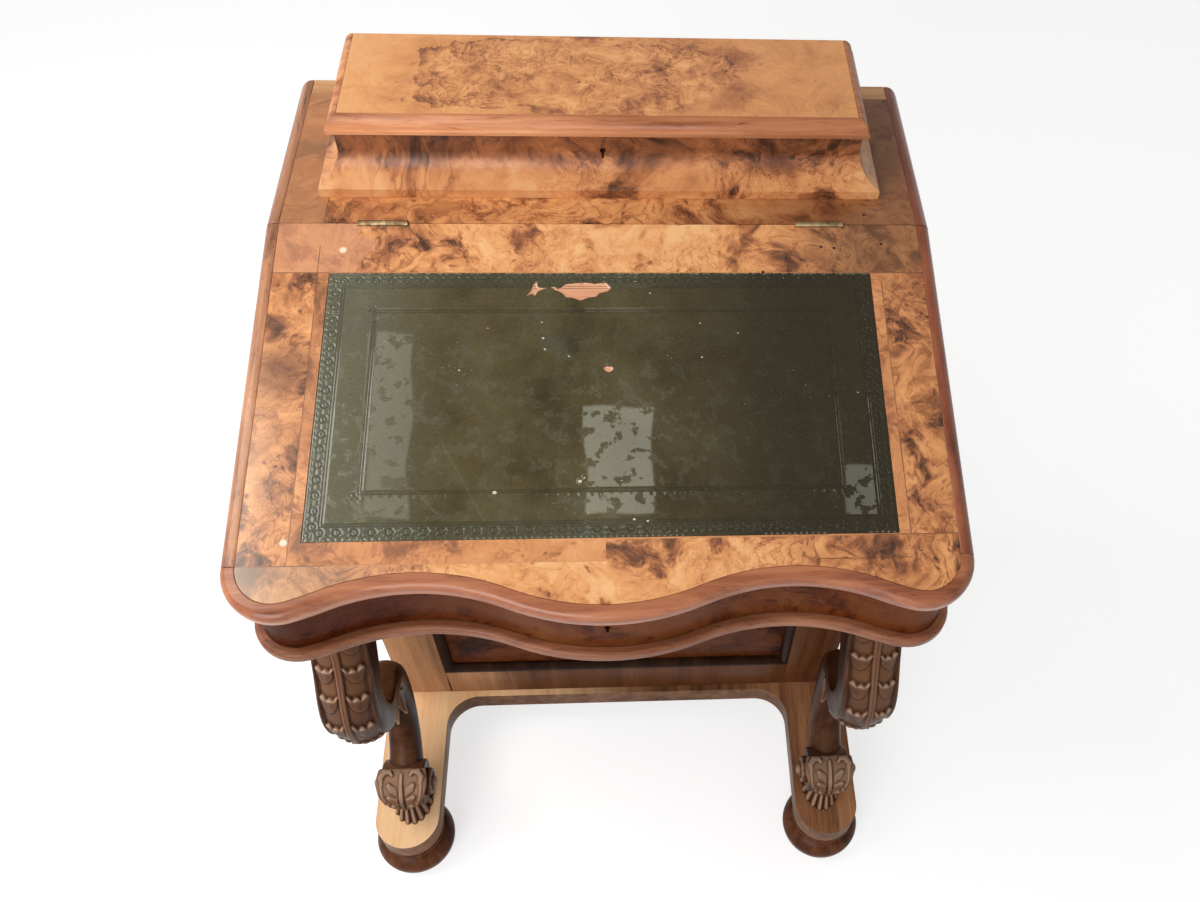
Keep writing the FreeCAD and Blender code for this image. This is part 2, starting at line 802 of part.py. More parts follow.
def make_drawer(number):
    name = f"drawer_{number}"
    low = drawer_low(number)
    high = f"{low} + {drawer_height(number)} - drawer_clear"
    bottom = f"{low} + drawer_seat"
    middle = f"{low} + {drawer_height(number)} / 2"
    front_y, back_y = "bay_front + drawer_clear", "bay_back - drawer_clear"
    inner = "carcase_half - drawer_front_thick"
    side_top = f"{high} - drawer_side_drop"
    blank = board(name + "_blank", (inner, "carcase_half"), (front_y, back_y), (bottom, high))
    holes = spigot_holes(name, 1, middle, "spigot_length + spigot_clear")
    finished(cut(name + "_front", blank, holes), name + "_front")
    floor_low = f"{bottom} + drawer_floor_rise"
    near, far = f"{front_y} + drawer_wall", f"{back_y} - drawer_wall"
    length = ("drawer_back", inner)
    box = [
        board(name + "_near_side", length, (front_y, near), (bottom, side_top)),
        board(name + "_far_side", length, (far, back_y), (bottom, side_top)),
        board(name + "_end", ("drawer_back", "drawer_back + drawer_wall"), (near, far),
              (floor_low, side_top)),
        board(name + "_floor", ("drawer_back + drawer_wall", inner), (near, far),
              (floor_low, f"{floor_low} + drawer_floor_thick")),
    ]
    finished(group(name + "_box", box), name + "_box")
    finished(group(name + "_knobs", knob_pair(name + "_knob", 1, middle)), name + "_knobs")


def make_drawer_bay():
    """Rails between the drawers, the runners under them, and the dummy fronts of the other side."""
    bay = ("bay_front", "bay_back")
    tops = ["desk_floor"] + [drawer_low(number) for number in range(1, 5)]
    face = ("carcase_half - drawer_rail_depth", "carcase_half")
    other = ("-carcase_half", "-carcase_half + dummy_thick")
    rails, dummy_rails, runners, fronts, knobs = [], [], [], [], []
    for count, top in enumerate(tops):
        height = (f"{top} - drawer_rail", top)
        rails.append(board(f"drawer_rail_{count}", face, bay, height))
        dummy_rails.append(board(f"dummy_rail_{count}", other, bay, height))
        if count:
            run = ("side_inner", "carcase_half - drawer_rail_depth")
            near = ("bay_front", "bay_front + runner_width")
            far = ("bay_back - runner_width", "bay_back")
            runners.append(board(f"runner_near_{count}", run, near, height))
            runners.append(board(f"runner_far_{count}", run, far, height))
            high = f"{top} + {drawer_height(count)} - drawer_clear"
            middle = f"{top} + {drawer_height(count)} / 2"
            width = ("bay_front + drawer_clear", "bay_back - drawer_clear")
            blank = board(f"dummy_blank_{count}", other, width, (f"{top} + drawer_seat", high))
            holes = spigot_holes(f"dummy_{count}", -1, middle, "spigot_length + spigot_clear")
            fronts.append(cut(f"dummy_front_{count}", blank, holes))
            knobs += knob_pair(f"dummy_knob_{count}", -1, middle)
    finished(group("drawer_rails", rails), "drawer_rails")
    finished(group("dummy_drawer_rails", dummy_rails), "dummy_drawer_rails")
    finished(group("drawer_runners", runners), "drawer_runners")
    finished(group("dummy_drawer_fronts", fronts), "dummy_drawer_fronts")
    finished(group("dummy_drawer_knobs", knobs), "dummy_drawer_knobs")
    for number in range(1, 5):
        make_drawer(number)


# Desk box


def keyhole(name, y, height):
    """A round hole with a slot under it, run back from a front face."""
    bore = doc.addObject("Part::Cylinder", name + "_bore")
    bore.Placement.Rotation = FreeCAD.Rotation(FreeCAD.Vector(1, 0, 0), -90)
    bind(bore, Radius="keyhole_radius", Height=f"({y[1]}) - ({y[0]})", y=y[0], z=height)
    slot = board(name + "_slot", symmetric("keyhole_slot / 2"), y, (f"{height} - keyhole_drop", height))
    return [bore, slot]


def make_carcase():
    plan, arcs = serpentine_plan("carcase_front", "back_face")
    finished(prism("desk_bottom", "XY_Plane", plan, "desk_floor", "well_floor", arcs), "desk_bottom")
    side = [
        ("side_front", "well_floor"),
        ("back_front", "well_floor"),
        ("back_front", "top_under"),
        ("hinge_y", "top_under"),
        ("hinge_y", lid_under("hinge_y")),
        ("side_front", lid_under("side_front")),
    ]
    finished(prism("desk_right_side", "YZ_Plane", side, "carcase_half - side_thick", "carcase_half"),
             "desk_right_side")
    finished(prism("desk_left_side", "YZ_Plane", side, "-carcase_half", "-carcase_half + side_thick"),
             "desk_left_side")
    back = board("desk_back", symmetric("carcase_half"), ("back_front", "back_face"), ("well_floor", "top_z"))
    finished(back, "desk_back")
    plan, arcs = band("-frieze_thick", "0", "carcase_front")
    blank = prism("frieze_blank", "XY_Plane", plan, "well_floor", "top_under", arcs)
    above = tilted_board("lid_space", symmetric("2 * carcase_half"), ("-2 * lid_length", "lid_length / 4"),
                         ("-lid_thick - lid_seat", "carcase_height"))
    hole = keyhole("frieze_keyhole", ("carcase_front - 1", "lock_y + 1"), "lock_top - lid_keyhole_drop")
    mortise = board("lock_mortise", symmetric("lock_half + joint_gap"), ("lock_y", "lock_y + lock_depth"),
                    ("lock_top - lock_height - joint_gap", "lock_top + lid_thick"))
    finished(cut("frieze_front", blank, [above, mortise] + hole), "frieze_front")
    make_edge("frieze_moulding", "lip_reach", "lip_radius", "carcase_front", ("desk_floor", "well_floor"),
              ("side_front + joint_gap", "back_face"))


def make_edge(name, reach, radius, front, height, run):
    """A half-round moulding: one curved length round the front and a straight one down each side."""
    plan, arcs = band("joint_gap", reach, front)
    curved = prism(name + "_front", "XY_Plane", plan, *height, arcs)
    round_edges(curved, radius, outer_edges(reach, front))
    sides = side_edges(name, reach, radius, run, height)
    finished(group(name, [curved] + sides), name)


def side_edges(name, reach, radius, run, height):
    """The straight lengths of a half-round moulding, right and left."""
    points, arcs = edge_section("carcase_half + joint_gap", f"carcase_half + {reach}", *height, radius)
    right = prism(name + "_right", "XZ_Plane", points, *run, arcs)
    return [right, mirrored(name + "_left", right)]


def hinge_notches(name, leaf):
    """Room for the knuckle and one leaf at both hinges, in the edge of a board."""
    tools = []
    for side in (-1, 1):
        start = f"{side} * hinge_x - hinge_length / 2"
        bore = doc.addObject("Part::Cylinder", f"{name}_bore_{side + 1}")
        bore.Placement.Rotation = FreeCAD.Rotation(FreeCAD.Vector(0, 1, 0), 90)
        bind(bore, Radius="knuckle_radius + knuckle_clear", Height="hinge_length + 2 * knuckle_clear",
             x=f"{start} - knuckle_clear", y="hinge_y", z="top_z")
        ends = (f"{start} - joint_gap", f"{start} + hinge_length + joint_gap")
        depth = ("top_z - leaf_height - joint_gap", "top_z + 1")
        tools += [bore, board(f"{name}_leaf_{side + 1}", ends, leaf, depth)]
    return tools


def make_top():
    blank = board("top_blank", symmetric("carcase_half"), ("hinge_y + hinge_gap / 2", "back_front"),
                  ("top_under", "top_z"))
    leaf = ("hinge_y", "hinge_y + hinge_gap / 2 + leaf_thick")
    finished(cut("top_board", blank, hinge_notches("top_hinge", leaf)), "top_board")
    points, arcs = edge_section("carcase_half + joint_gap", "carcase_half + lid_overhang", "top_under",
                                "top_z", "edge_radius")
    strip = prism("top_moulding_strip", "XZ_Plane", points, "hinge_y + hinge_gap / 2", "back_face", arcs)
    end = "carcase_half + lid_overhang"
    plan = [
        ("carcase_half", "hinge_y + hinge_gap / 2"),
        (end, "hinge_y + hinge_gap / 2"),
        (end, "back_face - lid_overhang"),
        ("carcase_half", "back_face"),
    ]
    trim = prism("top_moulding_plan", "XY_Plane", plan, "top_under", "top_z", {2: ("lid_overhang", 1)})
    right = common("top_moulding_right", strip, trim)
    finished(group("top_side_mouldings", [right, mirrored("top_moulding_left", right)]), "top_side_mouldings")


# Writing lid


def make_lid():
    plan, arcs = serpentine_plan("-lid_length", "lid_thick")
    flat = prism("lid_flat", "XY_Plane", plan, "-lid_thick", "0", arcs)
    blank = lid_placed(flat, "lid_blank")
    behind = board("behind_hinge_line", symmetric("2 * carcase_half"),
                   ("hinge_y - hinge_gap / 2", "hinge_y + 2 * lid_thick"),
                   ("top_z - 4 * lid_thick", "top_z + 2 * lid_thick"))
    leather_run = ("-leather_end", "-leather_start")
    bed = tilted_board("leather_bed", symmetric("leather_half"), leather_run, ("-leather_thick", "1"))
    strike_run = ("strike_y - strike_width / 2", "strike_y + strike_width / 2")
    slot_run = ("strike_y - strike_slot_width / 2", "strike_y + strike_slot_width / 2")
    plate = ("-lid_thick - 1", "-lid_thick + strike_thick")
    strike_bed = tilted_board("strike_bed", symmetric("strike_half"), strike_run, plate)
    pocket = tilted_board("bolt_pocket", symmetric("strike_slot_half"), slot_run,
                          ("-lid_thick", "-lid_thick + strike_thick + strike_pocket"))
    leaf = ("hinge_y - hinge_gap / 2 - leaf_thick", "hinge_y")
    tools = [behind, bed, strike_bed, pocket] + hinge_notches("lid_hinge", leaf)
    finished(cut("lid_panel", blank, tools), "lid_panel")
    leather = tilted_board("lid_leather", symmetric("leather_half"), leather_run, ("-leather_thick", "0"))
    finished(leather, "lid_leather")
    plan, arcs = band("joint_gap", "lid_overhang", "-lid_length")
    curved = prism("lid_front_edge", "XY_Plane", plan, "-lid_thick", "0", arcs)
    round_edges(curved, "edge_radius", outer_edges("lid_overhang", "-lid_length"))
    finished(lid_placed(curved, "lid_front_moulding"), "lid_front_moulding")
    sides = side_edges("lid_side", "lid_overhang", "edge_radius", ("lid_side_end + joint_gap", "lid_thick"),
                       ("-lid_thick", "0"))
    long_sides = lid_placed(group("lid_side_strips", sides), "lid_side_blank")
    beyond = board("beyond_hinge_line", symmetric("2 * carcase_half"),
                   ("hinge_y - hinge_gap / 2", "hinge_y + 2 * lid_thick"),
                   ("top_z - 4 * lid_thick", "top_z + 2 * lid_thick"))
    finished(cut("lid_side_mouldings", long_sides, [beyond]), "lid_side_mouldings")
    slot = tilted_board("strike_slot", symmetric("strike_slot_half"), slot_run, plate)
    whole = tilted_board("strike_plate", symmetric("strike_half"), strike_run,
                         ("-lid_thick", "-lid_thick + strike_thick"))
    finished(cut("lid_strike_plate", whole, [slot]), "lid_strike_plate")


# Stationery box


def mitred_plan(width, sides):
    """Plan of the front and right lengths of a three-sided frame with mitred front corners."""
    half, front, back = sides
    front_plan = [
        (f"-({half})", front),
        (half, front),
        (f"{half} - {width}", f"{front} + {width}"),
        (f"-({half}) + {width}", f"{front} + {width}"),
    ]
    side_plan = [
        (half, front),
        (half, back),
        (f"{half} - {width}", back),
        (f"{half} - {width}", f"{front} + {width}"),
    ]
    return front_plan, side_plan


def make_stationery_box():
    width, height = "box_inset", ("top_z", "box_top")
    front_plan, side_plan = mitred_plan(width, ("box_half", "box_y", "box_back"))

    def cove(edge, inward):
        """Section of a coved wall: a plain foot, a hollow, and a thin wall above."""
        return [
            (f"{edge} + {inward} * {width}", "top_z"),
            (edge, "top_z"),
            (edge, "top_z + cove_foot"),
            (f"{edge} + {inward} * cove_depth", "top_z + cove_foot + cove_rise"),
            (f"{edge} + {inward} * cove_depth", "box_top"),
            (f"{edge} + {inward} * {width}", "box_top"),
        ]

    front_strip = prism("box_front_strip", "YZ_Plane", cove("box_y", 1), *symmetric("box_half"),
                        {2: ("cove_radius", 1)})
    front_trim = prism("box_front_plan", "XY_Plane", front_plan, *height)
    blank = common("box_front_blank", front_strip, front_trim)
    hole = keyhole("box_keyhole", ("box_y", "box_lock_y + 1"), "box_lock_top - box_keyhole_drop")
    finished(cut("stationery_front", blank, hole), "stationery_front")
    side_strip = prism("box_side_strip", "XZ_Plane", cove("box_half", -1), "box_y", "box_back",
                       {2: ("cove_radius", -1)})
    side_trim = prism("box_side_plan", "XY_Plane", side_plan, *height)
    right = common("box_right", side_strip, side_trim)
    finished(group("stationery_sides", [right, mirrored("box_left", right)]), "stationery_sides")
    inner = "box_half - box_inset"
    back = board("stationery_back", symmetric(inner), ("box_back - box_wall", "box_back"), height)
    finished(back, "stationery_back")
    dividers = []
    for side in (-1, 1):
        middle = f"{side} * divider_spacing / 2"
        width = (f"{middle} - divider_thick / 2", f"{middle} + divider_thick / 2")
        dividers.append(board(f"divider_{side + 1}", width, ("box_lock_y", "box_back - box_wall"),
                              ("top_z", "top_z + divider_height")))
    finished(group("letter_dividers", dividers), "letter_dividers")


def make_stationery_lid():
    height = ("box_lid_low", "box_lid_high")
    edge = "box_lid_edge"
    inner = (symmetric(f"box_lid_half - {edge}"), (f"box_lid_front + {edge}", "box_back"))
    blank = board("box_lid_blank", *inner, height)
    strike_run = ("box_bolt_y - strike_width / 2", "box_bolt_y + strike_width / 2")
    slot_run = ("box_bolt_y - strike_slot_width / 2", "box_bolt_y + strike_slot_width / 2")
    plate = ("box_lid_low - 1", "box_lid_low + strike_thick")
    bed = board("box_strike_bed", symmetric("strike_half"), strike_run, plate)
    pocket = board("box_bolt_pocket", symmetric("strike_slot_half"), slot_run,
                   ("box_lid_low", "box_lid_low + strike_thick + strike_pocket"))
    finished(cut("stationery_lid", blank, [bed, pocket]), "stationery_lid")
    slot = board("box_strike_slot", symmetric("strike_slot_half"), slot_run, plate)
    whole = board("box_strike_whole", symmetric("strike_half"), strike_run,
                  ("box_lid_low", "box_lid_low + strike_thick"))
    finished(cut("stationery_strike_plate", whole, [slot]), "stationery_strike_plate")
    front_plan, side_plan = mitred_plan(edge, ("box_lid_half", "box_lid_front", "box_back"))
    rise = "box_lid_thick - box_lid_step"

    def thumb(outside, inward):
        """Section of the lid's edge: a square step below and a thumb moulding above."""
        return [
            (f"{outside} + {inward} * {edge}", "box_lid_low"),
            (outside, "box_lid_low"),
            (outside, "box_lid_low + box_lid_step"),
            (f"{outside} + {inward} * box_lid_quirk", "box_lid_low + box_lid_step"),
            (f"{outside} + {inward} * box_lid_crown", "box_lid_high"),
            (f"{outside} + {inward} * {edge}", "box_lid_high"),
        ]

    front_strip = prism("box_lid_front_strip", "YZ_Plane", thumb("box_lid_front", 1),
                        *symmetric("box_lid_half"), {3: (rise, -1)})
    front_trim = prism("box_lid_front_plan", "XY_Plane", front_plan, *height)
    front = common("box_lid_front_edge", front_strip, front_trim)
    side_strip = prism("box_lid_side_strip", "XZ_Plane", thumb("box_lid_half", -1), "box_lid_front",
                       "box_back", {3: (rise, 1)})
    side_trim = prism("box_lid_side_plan", "XY_Plane", side_plan, *height)
    right = common("box_lid_right_edge", side_strip, side_trim)
    finished(group("stationery_lid_moulding", [front, right, mirrored("box_lid_left_edge", right)]),
             "stationery_lid_moulding")


# Hinges


def leaf_shape(name, start, axis, faces, reach, own):
    """One hinge leaf: plate clear of the knuckle, tabs up to the axis, its own knuckles, the pin's bore."""
    axis_y, axis_z = axis
    way = 1 if reach[0] != "-" else -1
    plate_edges = (f"{axis_z} + {way} * (knuckle_radius + knuckle_clear)", f"{axis_z} + ({reach})")
    tab_edges = (axis_z, plate_edges[0])
    if way < 0:
        plate_edges, tab_edges = plate_edges[::-1], tab_edges[::-1]
    segment = "hinge_length / 3"
    pieces = [board(name + "_plate", (start, f"{start} + hinge_length"), faces, plate_edges)]
    bores = []
    for place in own:
        low = f"{start} + {place} * {segment} + joint_gap"
        high = f"{start} + {place + 1} * {segment} - joint_gap"
        pieces.append(board(f"{name}_tab_{place}", (low, high), faces, tab_edges))
        for kind, radius in (("knuckle", "knuckle_radius"), ("bore", "pin_radius + pin_clear")):
            barrel = doc.addObject("Part::Cylinder", f"{name}_{kind}_{place}")
            barrel.Placement.Rotation = FreeCAD.Rotation(FreeCAD.Vector(0, 1, 0), 90)
            bind(barrel, Radius=radius, Height=f"({high}) - ({low})", x=low, y=axis_y, z=axis_z)
            if kind == "bore":
                bores.append(barrel)
            else:
                pieces.append(barrel)
    whole = doc.addObject("Part::MultiFuse", name + "_whole")
    whole.Shapes = pieces
    return cut(name, whole, bores)


def make_hinges():
    """Two butt hinges on the hinge line and two behind the stationery lid, each two leaves and a pin."""
    lid_axis, box_axis = ("hinge_y", "top_z"), ("box_hinge_y", "box_hinge_z")
    gap = "hinge_gap / 2"
    fixed, lid_leaves, box_leaves, pins = [], [], [], []
    for side in (-1, 1):
        start = f"{side} * hinge_x - hinge_length / 2"
        mark = "left" if side < 0 else "right"
        behind = (f"hinge_y + {gap}", f"hinge_y + {gap} + leaf_thick")
        before = (f"hinge_y - {gap} - leaf_thick", f"hinge_y - {gap}")
        fixed.append(leaf_shape(f"top_leaf_{mark}", start, lid_axis, behind, "-leaf_height", (0, 2)))
        lid_leaves.append(leaf_shape(f"lid_leaf_{mark}", start, lid_axis, before, "-leaf_height", (1,)))
        flat = ("box_back", "box_back + leaf_thick")
        fixed.append(leaf_shape(f"box_leaf_{mark}", start, box_axis, flat, "-box_leaf_height", (0, 2)))
        box_leaves.append(leaf_shape(f"box_lid_leaf_{mark}", start, box_axis, flat, "box_leaf_height", (1,)))
        for kind, (y, z) in (("lid", lid_axis), ("box", box_axis)):
            pin = doc.addObject("Part::Cylinder", f"{kind}_pin_{mark}")
            pin.Placement.Rotation = FreeCAD.Rotation(FreeCAD.Vector(0, 1, 0), 90)
            pins.append(bind(pin, Radius="pin_radius", Height="hinge_length", x=start, y=y, z=z))
    finished(group("hinge_fixed_leaves", fixed), "hinge_fixed_leaves")
    finished(group("lid_hinge_leaves", lid_leaves), "lid_hinge_leaves")
    finished(group("stationery_lid_hinge_leaves", box_leaves), "stationery_lid_hinge_leaves")
    finished(group("hinge_pins", pins), "hinge_pins")


# Locks


def make_lock(name, y, top, height):
    """A lock case behind a keyhole, with a bolt that slides up out of it."""
    middle = f"{y} + lock_depth / 2"
    bolt_run = (f"{middle} - bolt_thick / 2", f"{middle} + bolt_thick / 2")
    slot_run = (f"{bolt_run[0]} - bolt_clear", f"{bolt_run[1]} + bolt_clear")
    case = board(name + "_case_blank", symmetric("lock_half"), (y, f"{y} + lock_depth"),
                 (f"{top} - {height}", top))
    slot = board(name + "_bolt_slot", symmetric("bolt_half + bolt_clear"), slot_run,
                 (f"{top} - bolt_height - bolt_clear", f"{top} + 1"))
    finished(cut(name + "_case", case, [slot]), name + "_case")
    bolt = board(name + "_bolt", symmetric("bolt_half"), bolt_run, (f"{top} - bolt_height", top))
    finished(bolt, name + "_bolt")


def make_locks():
    make_lock("lid_lock", "lock_y", "lock_top", "lock_height")
    make_lock("stationery_lock", "box_lock_y", "box_lock_top", "box_lock_height")


make_platform()
make_feet()
make_brackets()
make_pedestal()
make_drawer_bay()
make_carcase()
make_top()
make_lid()
make_stationery_box()
make_stationery_lid()
make_hinges()
make_locks()
doc.recompute()

# Nothing is written unless every object is sound.
for thing in doc.Objects:
    if {"Invalid", "Error"} & set(thing.State):
        raise RuntimeError(f"{thing.Label} failed: {thing.State}")
for part in parts:
    if part.Shape.isNull() or not part.Shape.isValid() or part.Shape.Volume < 1:
        raise RuntimeError(f"{part.Label} has no valid shape")

os.makedirs("parts", exist_ok=True)
for part in parts:
    part.Shape.exportStep(f"parts/{part.Label}.step")
print(len(parts), "parts")
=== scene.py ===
import json
import math
from functools import reduce

import bpy
import numpy as np
from mathutils import Matrix, Vector


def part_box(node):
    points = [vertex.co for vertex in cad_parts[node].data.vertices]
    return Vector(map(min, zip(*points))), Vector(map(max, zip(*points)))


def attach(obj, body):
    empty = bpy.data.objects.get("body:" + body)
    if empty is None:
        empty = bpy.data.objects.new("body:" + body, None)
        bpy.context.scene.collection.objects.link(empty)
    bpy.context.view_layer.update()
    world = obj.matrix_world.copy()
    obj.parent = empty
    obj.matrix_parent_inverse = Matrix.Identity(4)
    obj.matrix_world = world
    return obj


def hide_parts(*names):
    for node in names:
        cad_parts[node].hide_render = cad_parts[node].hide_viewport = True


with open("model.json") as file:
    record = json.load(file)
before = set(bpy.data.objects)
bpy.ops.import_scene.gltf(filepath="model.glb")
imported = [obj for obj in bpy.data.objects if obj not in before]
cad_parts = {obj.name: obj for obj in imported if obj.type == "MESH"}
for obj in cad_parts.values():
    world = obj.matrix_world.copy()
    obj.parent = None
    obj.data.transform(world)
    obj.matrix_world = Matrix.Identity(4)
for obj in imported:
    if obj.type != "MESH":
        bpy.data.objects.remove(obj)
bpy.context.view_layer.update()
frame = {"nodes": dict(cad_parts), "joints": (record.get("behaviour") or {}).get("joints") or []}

scene = bpy.context.scene
scene.view_settings.view_transform = "Standard"

MM = 1000
WHITE = (1, 1, 1)

# The lid's own frame: a point on the hinge line, and the slope.
LID_ORIGIN = next(joint["pos_m"] for joint in frame["joints"] if joint["name"] == "lid_hinge")
SLOPE = math.radians(11.9)


# Camera, fitted to the straight edges in the photograph

IMAGE_WIDTH, IMAGE_HEIGHT = 1200, 902
FOCAL_PIXELS = 1088.64
CENTRE_PIXEL = (706.75, 517.42)
CAMERA_PLACE = (0.01903, -0.64001, 1.32828)
YAW, PITCH, ROLL = np.radians((7.04, 55.77, 4.94))


def make_camera():
    aim = Matrix.Rotation(-YAW, 4, "Z") @ Matrix.Rotation(math.pi / 2 - PITCH, 4, "X")
    data = bpy.data.cameras.new("camera")
    data.sensor_width = 36
    data.lens = FOCAL_PIXELS / IMAGE_WIDTH * data.sensor_width
    data.shift_x = (IMAGE_WIDTH / 2 - CENTRE_PIXEL[0]) / IMAGE_WIDTH
    data.shift_y = (CENTRE_PIXEL[1] - IMAGE_HEIGHT / 2) / IMAGE_WIDTH
    data.clip_start = 0.02
    camera = bpy.data.objects.new("camera", data)
    camera.matrix_world = Matrix.Translation(CAMERA_PLACE) @ aim @ Matrix.Rotation(ROLL, 4, "Z")
    scene.collection.objects.link(camera)
    scene.camera = camera


make_camera()


# Shader nodes

MASK_EDGE = 0.0004
HAIR, CRACK = 0.0003, 0.00035


def put(tree, socket, value):
    """Links a value to a socket, or sets a number, a place or a colour on it."""
    if isinstance(value, Value):
        tree.links.new(value.socket, socket)
    elif hasattr(socket.default_value, "__len__"):
        parts = value if hasattr(value, "__len__") else [value] * 3
        socket.default_value = [*parts, 1][:len(socket.default_value)]
    else:
        socket.default_value = value


def add(tree, kind, values=(), output=0, **settings):
    """Adds a node, with values for its inputs in order or by name, and gives one of its outputs."""
    node = tree.nodes.new("ShaderNode" + kind)
    for key, setting in settings.items():
        setattr(node, key, setting)
    for key, value in values.items() if isinstance(values, dict) else enumerate(values):
        put(tree, node.inputs[key], value)
    return Value(tree, node.outputs[output])


def work(operation, *values):
    """Adds a math node over numbers, or over places where the first value from a node is one."""
    known = next(value for value in values if isinstance(value, Value))
    kind = "VectorMath" if known.socket.type in ("VECTOR", "RGBA") else "Math"
    return add(known.tree, kind, values, operation=operation)


def most(*values):
    return reduce(lambda first, second: work("MAXIMUM", first, second), values)


class Value:
    """What a node gives: a number, a place or a colour. Sums with it add the nodes that work them out."""

    def __init__(self, tree, socket):
        self.tree = tree
        self.socket = socket

    def __add__(self, other):
        return work("ADD", self, other)

    __radd__ = __add__

    def __sub__(self, other):
        return work("SUBTRACT", self, other)

    def __rsub__(self, other):
        return work("SUBTRACT", other, self)

    def __mul__(self, other):
        return work("MULTIPLY", self, other)

    def __truediv__(self, other):
        return work("DIVIDE", self, other)

    def __pow__(self, power):
        return work("POWER", self, power)

    def __abs__(self):
        return work("ABSOLUTE", self)

    def part(self, axis):
        return add(self.tree, "SeparateXYZ", (self,), axis)

    def range(self, low, high, start=0.0, stop=1.0):
        """This number eased from start at low to stop at high."""
        values = (self, low, high, start, stop)
        return add(self.tree, "MapRange", values, interpolation_type="SMOOTHSTEP")

    def above(self, limit, soft=MASK_EDGE):
        return self.range(limit - soft, limit + soft)

    def below(self, limit, soft=MASK_EDGE):
        return self.range(limit + soft, limit - soft)

    def between(self, low, high, soft=MASK_EDGE):
        return self.above(low, soft) * self.below(high, soft)

    def line(self, middle, half=HAIR):
        """A mask over a hairline."""
        return self.between(middle - half, middle + half, HAIR)

    def mix(self, first, second):
        """The first colour where this share is 0 and the second where it is 1."""
        return add(self.tree, "Mix", {0: self, 6: first, 7: second}, 2, data_type="RGBA")

    def ramp(self, stops):
        """The colour that stops along a scale have at this number."""
        shade = add(self.tree, "ValToRGB", (self,))
        elements = shade.socket.node.color_ramp.elements
        while len(elements) < len(stops):
            elements.new(0.5)
        for element, (position, stop) in zip(elements, stops):
            element.position = position
            element.color = (*stop, 1)
        return shade

    def noise(self, scale, detail, roughness=0.5, output="Fac"):
        values = {"Vector": self, "Scale": scale, "Detail": detail, "Roughness": roughness}
        return add(self.tree, "TexNoise", values, output)

    def cells(self, scale, feature="F1"):
        values = {"Vector": self, "Scale": scale}
        return add(self.tree, "TexVoronoi", values, "Distance", feature=feature)

    def swayed(self, scale, reach, detail=2):
        """This place pushed about by a soft noise, so that what is drawn there swirls."""
        return self + (self.noise(scale, detail, output="Color") - 0.5) * reach

    def bump(self, distance, strength):
        """The way that a face looks where this number is its height."""
        return add(self.tree, "Bump", {"Height": self, "Distance": distance, "Strength": strength})


class Graph:
    """The node tree of a new material."""

    def __init__(self, name):
        self.material = bpy.data.materials.new(name)
        self.material.use_nodes = True
        self.tree = self.material.node_tree
        self.shader = self.tree.nodes["Principled BSDF"]

    def place(self):
        return add(self.tree, "TexCoord", output="Object")

    def lid_place(self):
        """Places on the lid: x across, y along the slope from the hinge line, z square to it."""
        values = {"Vector": self.place(), "Location": LID_ORIGIN, "Rotation": (SLOPE, 0, 0)}
        return add(self.tree, "Mapping", values, vector_type="TEXTURE")

    def upward(self):
        """How much a face looks up: 1 on a level top, 0 on an upright side."""
        return add(self.tree, "NewGeometry", output="Normal").part("Z")

    def stored(self, name):
        return add(self.tree, "Attribute", output="Fac", attribute_name=name)

    def finish(self, **sockets):
        """Sets the shader's sockets, given with underscores for spaces."""
        for name, value in sockets.items():
            put(self.tree, self.shader.inputs[name.replace("_", " ")], value)
        return self.material


def colour(*levels):
    """A colour given as it looks on screen, 0 to 255, in the linear values that the shaders take."""
    shares = [level / 255 for level in levels]
    return [share / 12.92 if share <= 0.04045 else ((share + 0.055) / 1.055) ** 2.4 for share in shares]


def stained(base, *stains):
    """A colour under stains, each given as its share and its shade on screen."""
    for share, shade in stains:
        base = share.mix(base, colour(*shade))
    return base


# New pieces


def new_piece(name, places, faces, finish):
    mesh = bpy.data.meshes.new(name)
    mesh.from_pydata(places, [], faces)
    mesh.materials.append(finish)
    piece = bpy.data.objects.new(name, mesh)
    scene.collection.objects.link(piece)
    return piece


def keep(mesh, name, values):
    """Keeps a number with each point of a mesh, for its material to read."""
    layer = mesh.attributes.new(name, "FLOAT", "POINT")
    layer.data.foreach_set("value", values.astype(np.float32))


# Floor, background and light

FLOOR_HALF = 6
FLOOR_SHADE = (0.5, 0.5, 0.5)
FLOOR_GLOW = 0.68
SKY_LIGHT = 0.34
HORIZON = (0.6, 0.4)
DAYLIGHT, FAR_DAYLIGHT = (1, 0.98, 0.95), (0.98, 1, 0.84)
FAR_HEIGHT = 2.6
# Far windows: their left, right, near and far edges, and how bright they are.
FAR_WINDOWS = ((-1.0, -0.915, -0.12, 0.5, 14.0), (-0.648, -0.541, 0.167, 0.654, 2.2),
               (-0.099, 0.077, 0.168, 0.462, 4.2), (0.571, 0.668, 0.153, 0.295, 2.4))


def seen(tree):
    """1 for what the camera sees, straight, in a mirror or through glass."""
    kinds = ("Camera", "Glossy", "Transmission")
    return most(*(add(tree, "LightPath", output=f"Is {kind} Ray") for kind in kinds))


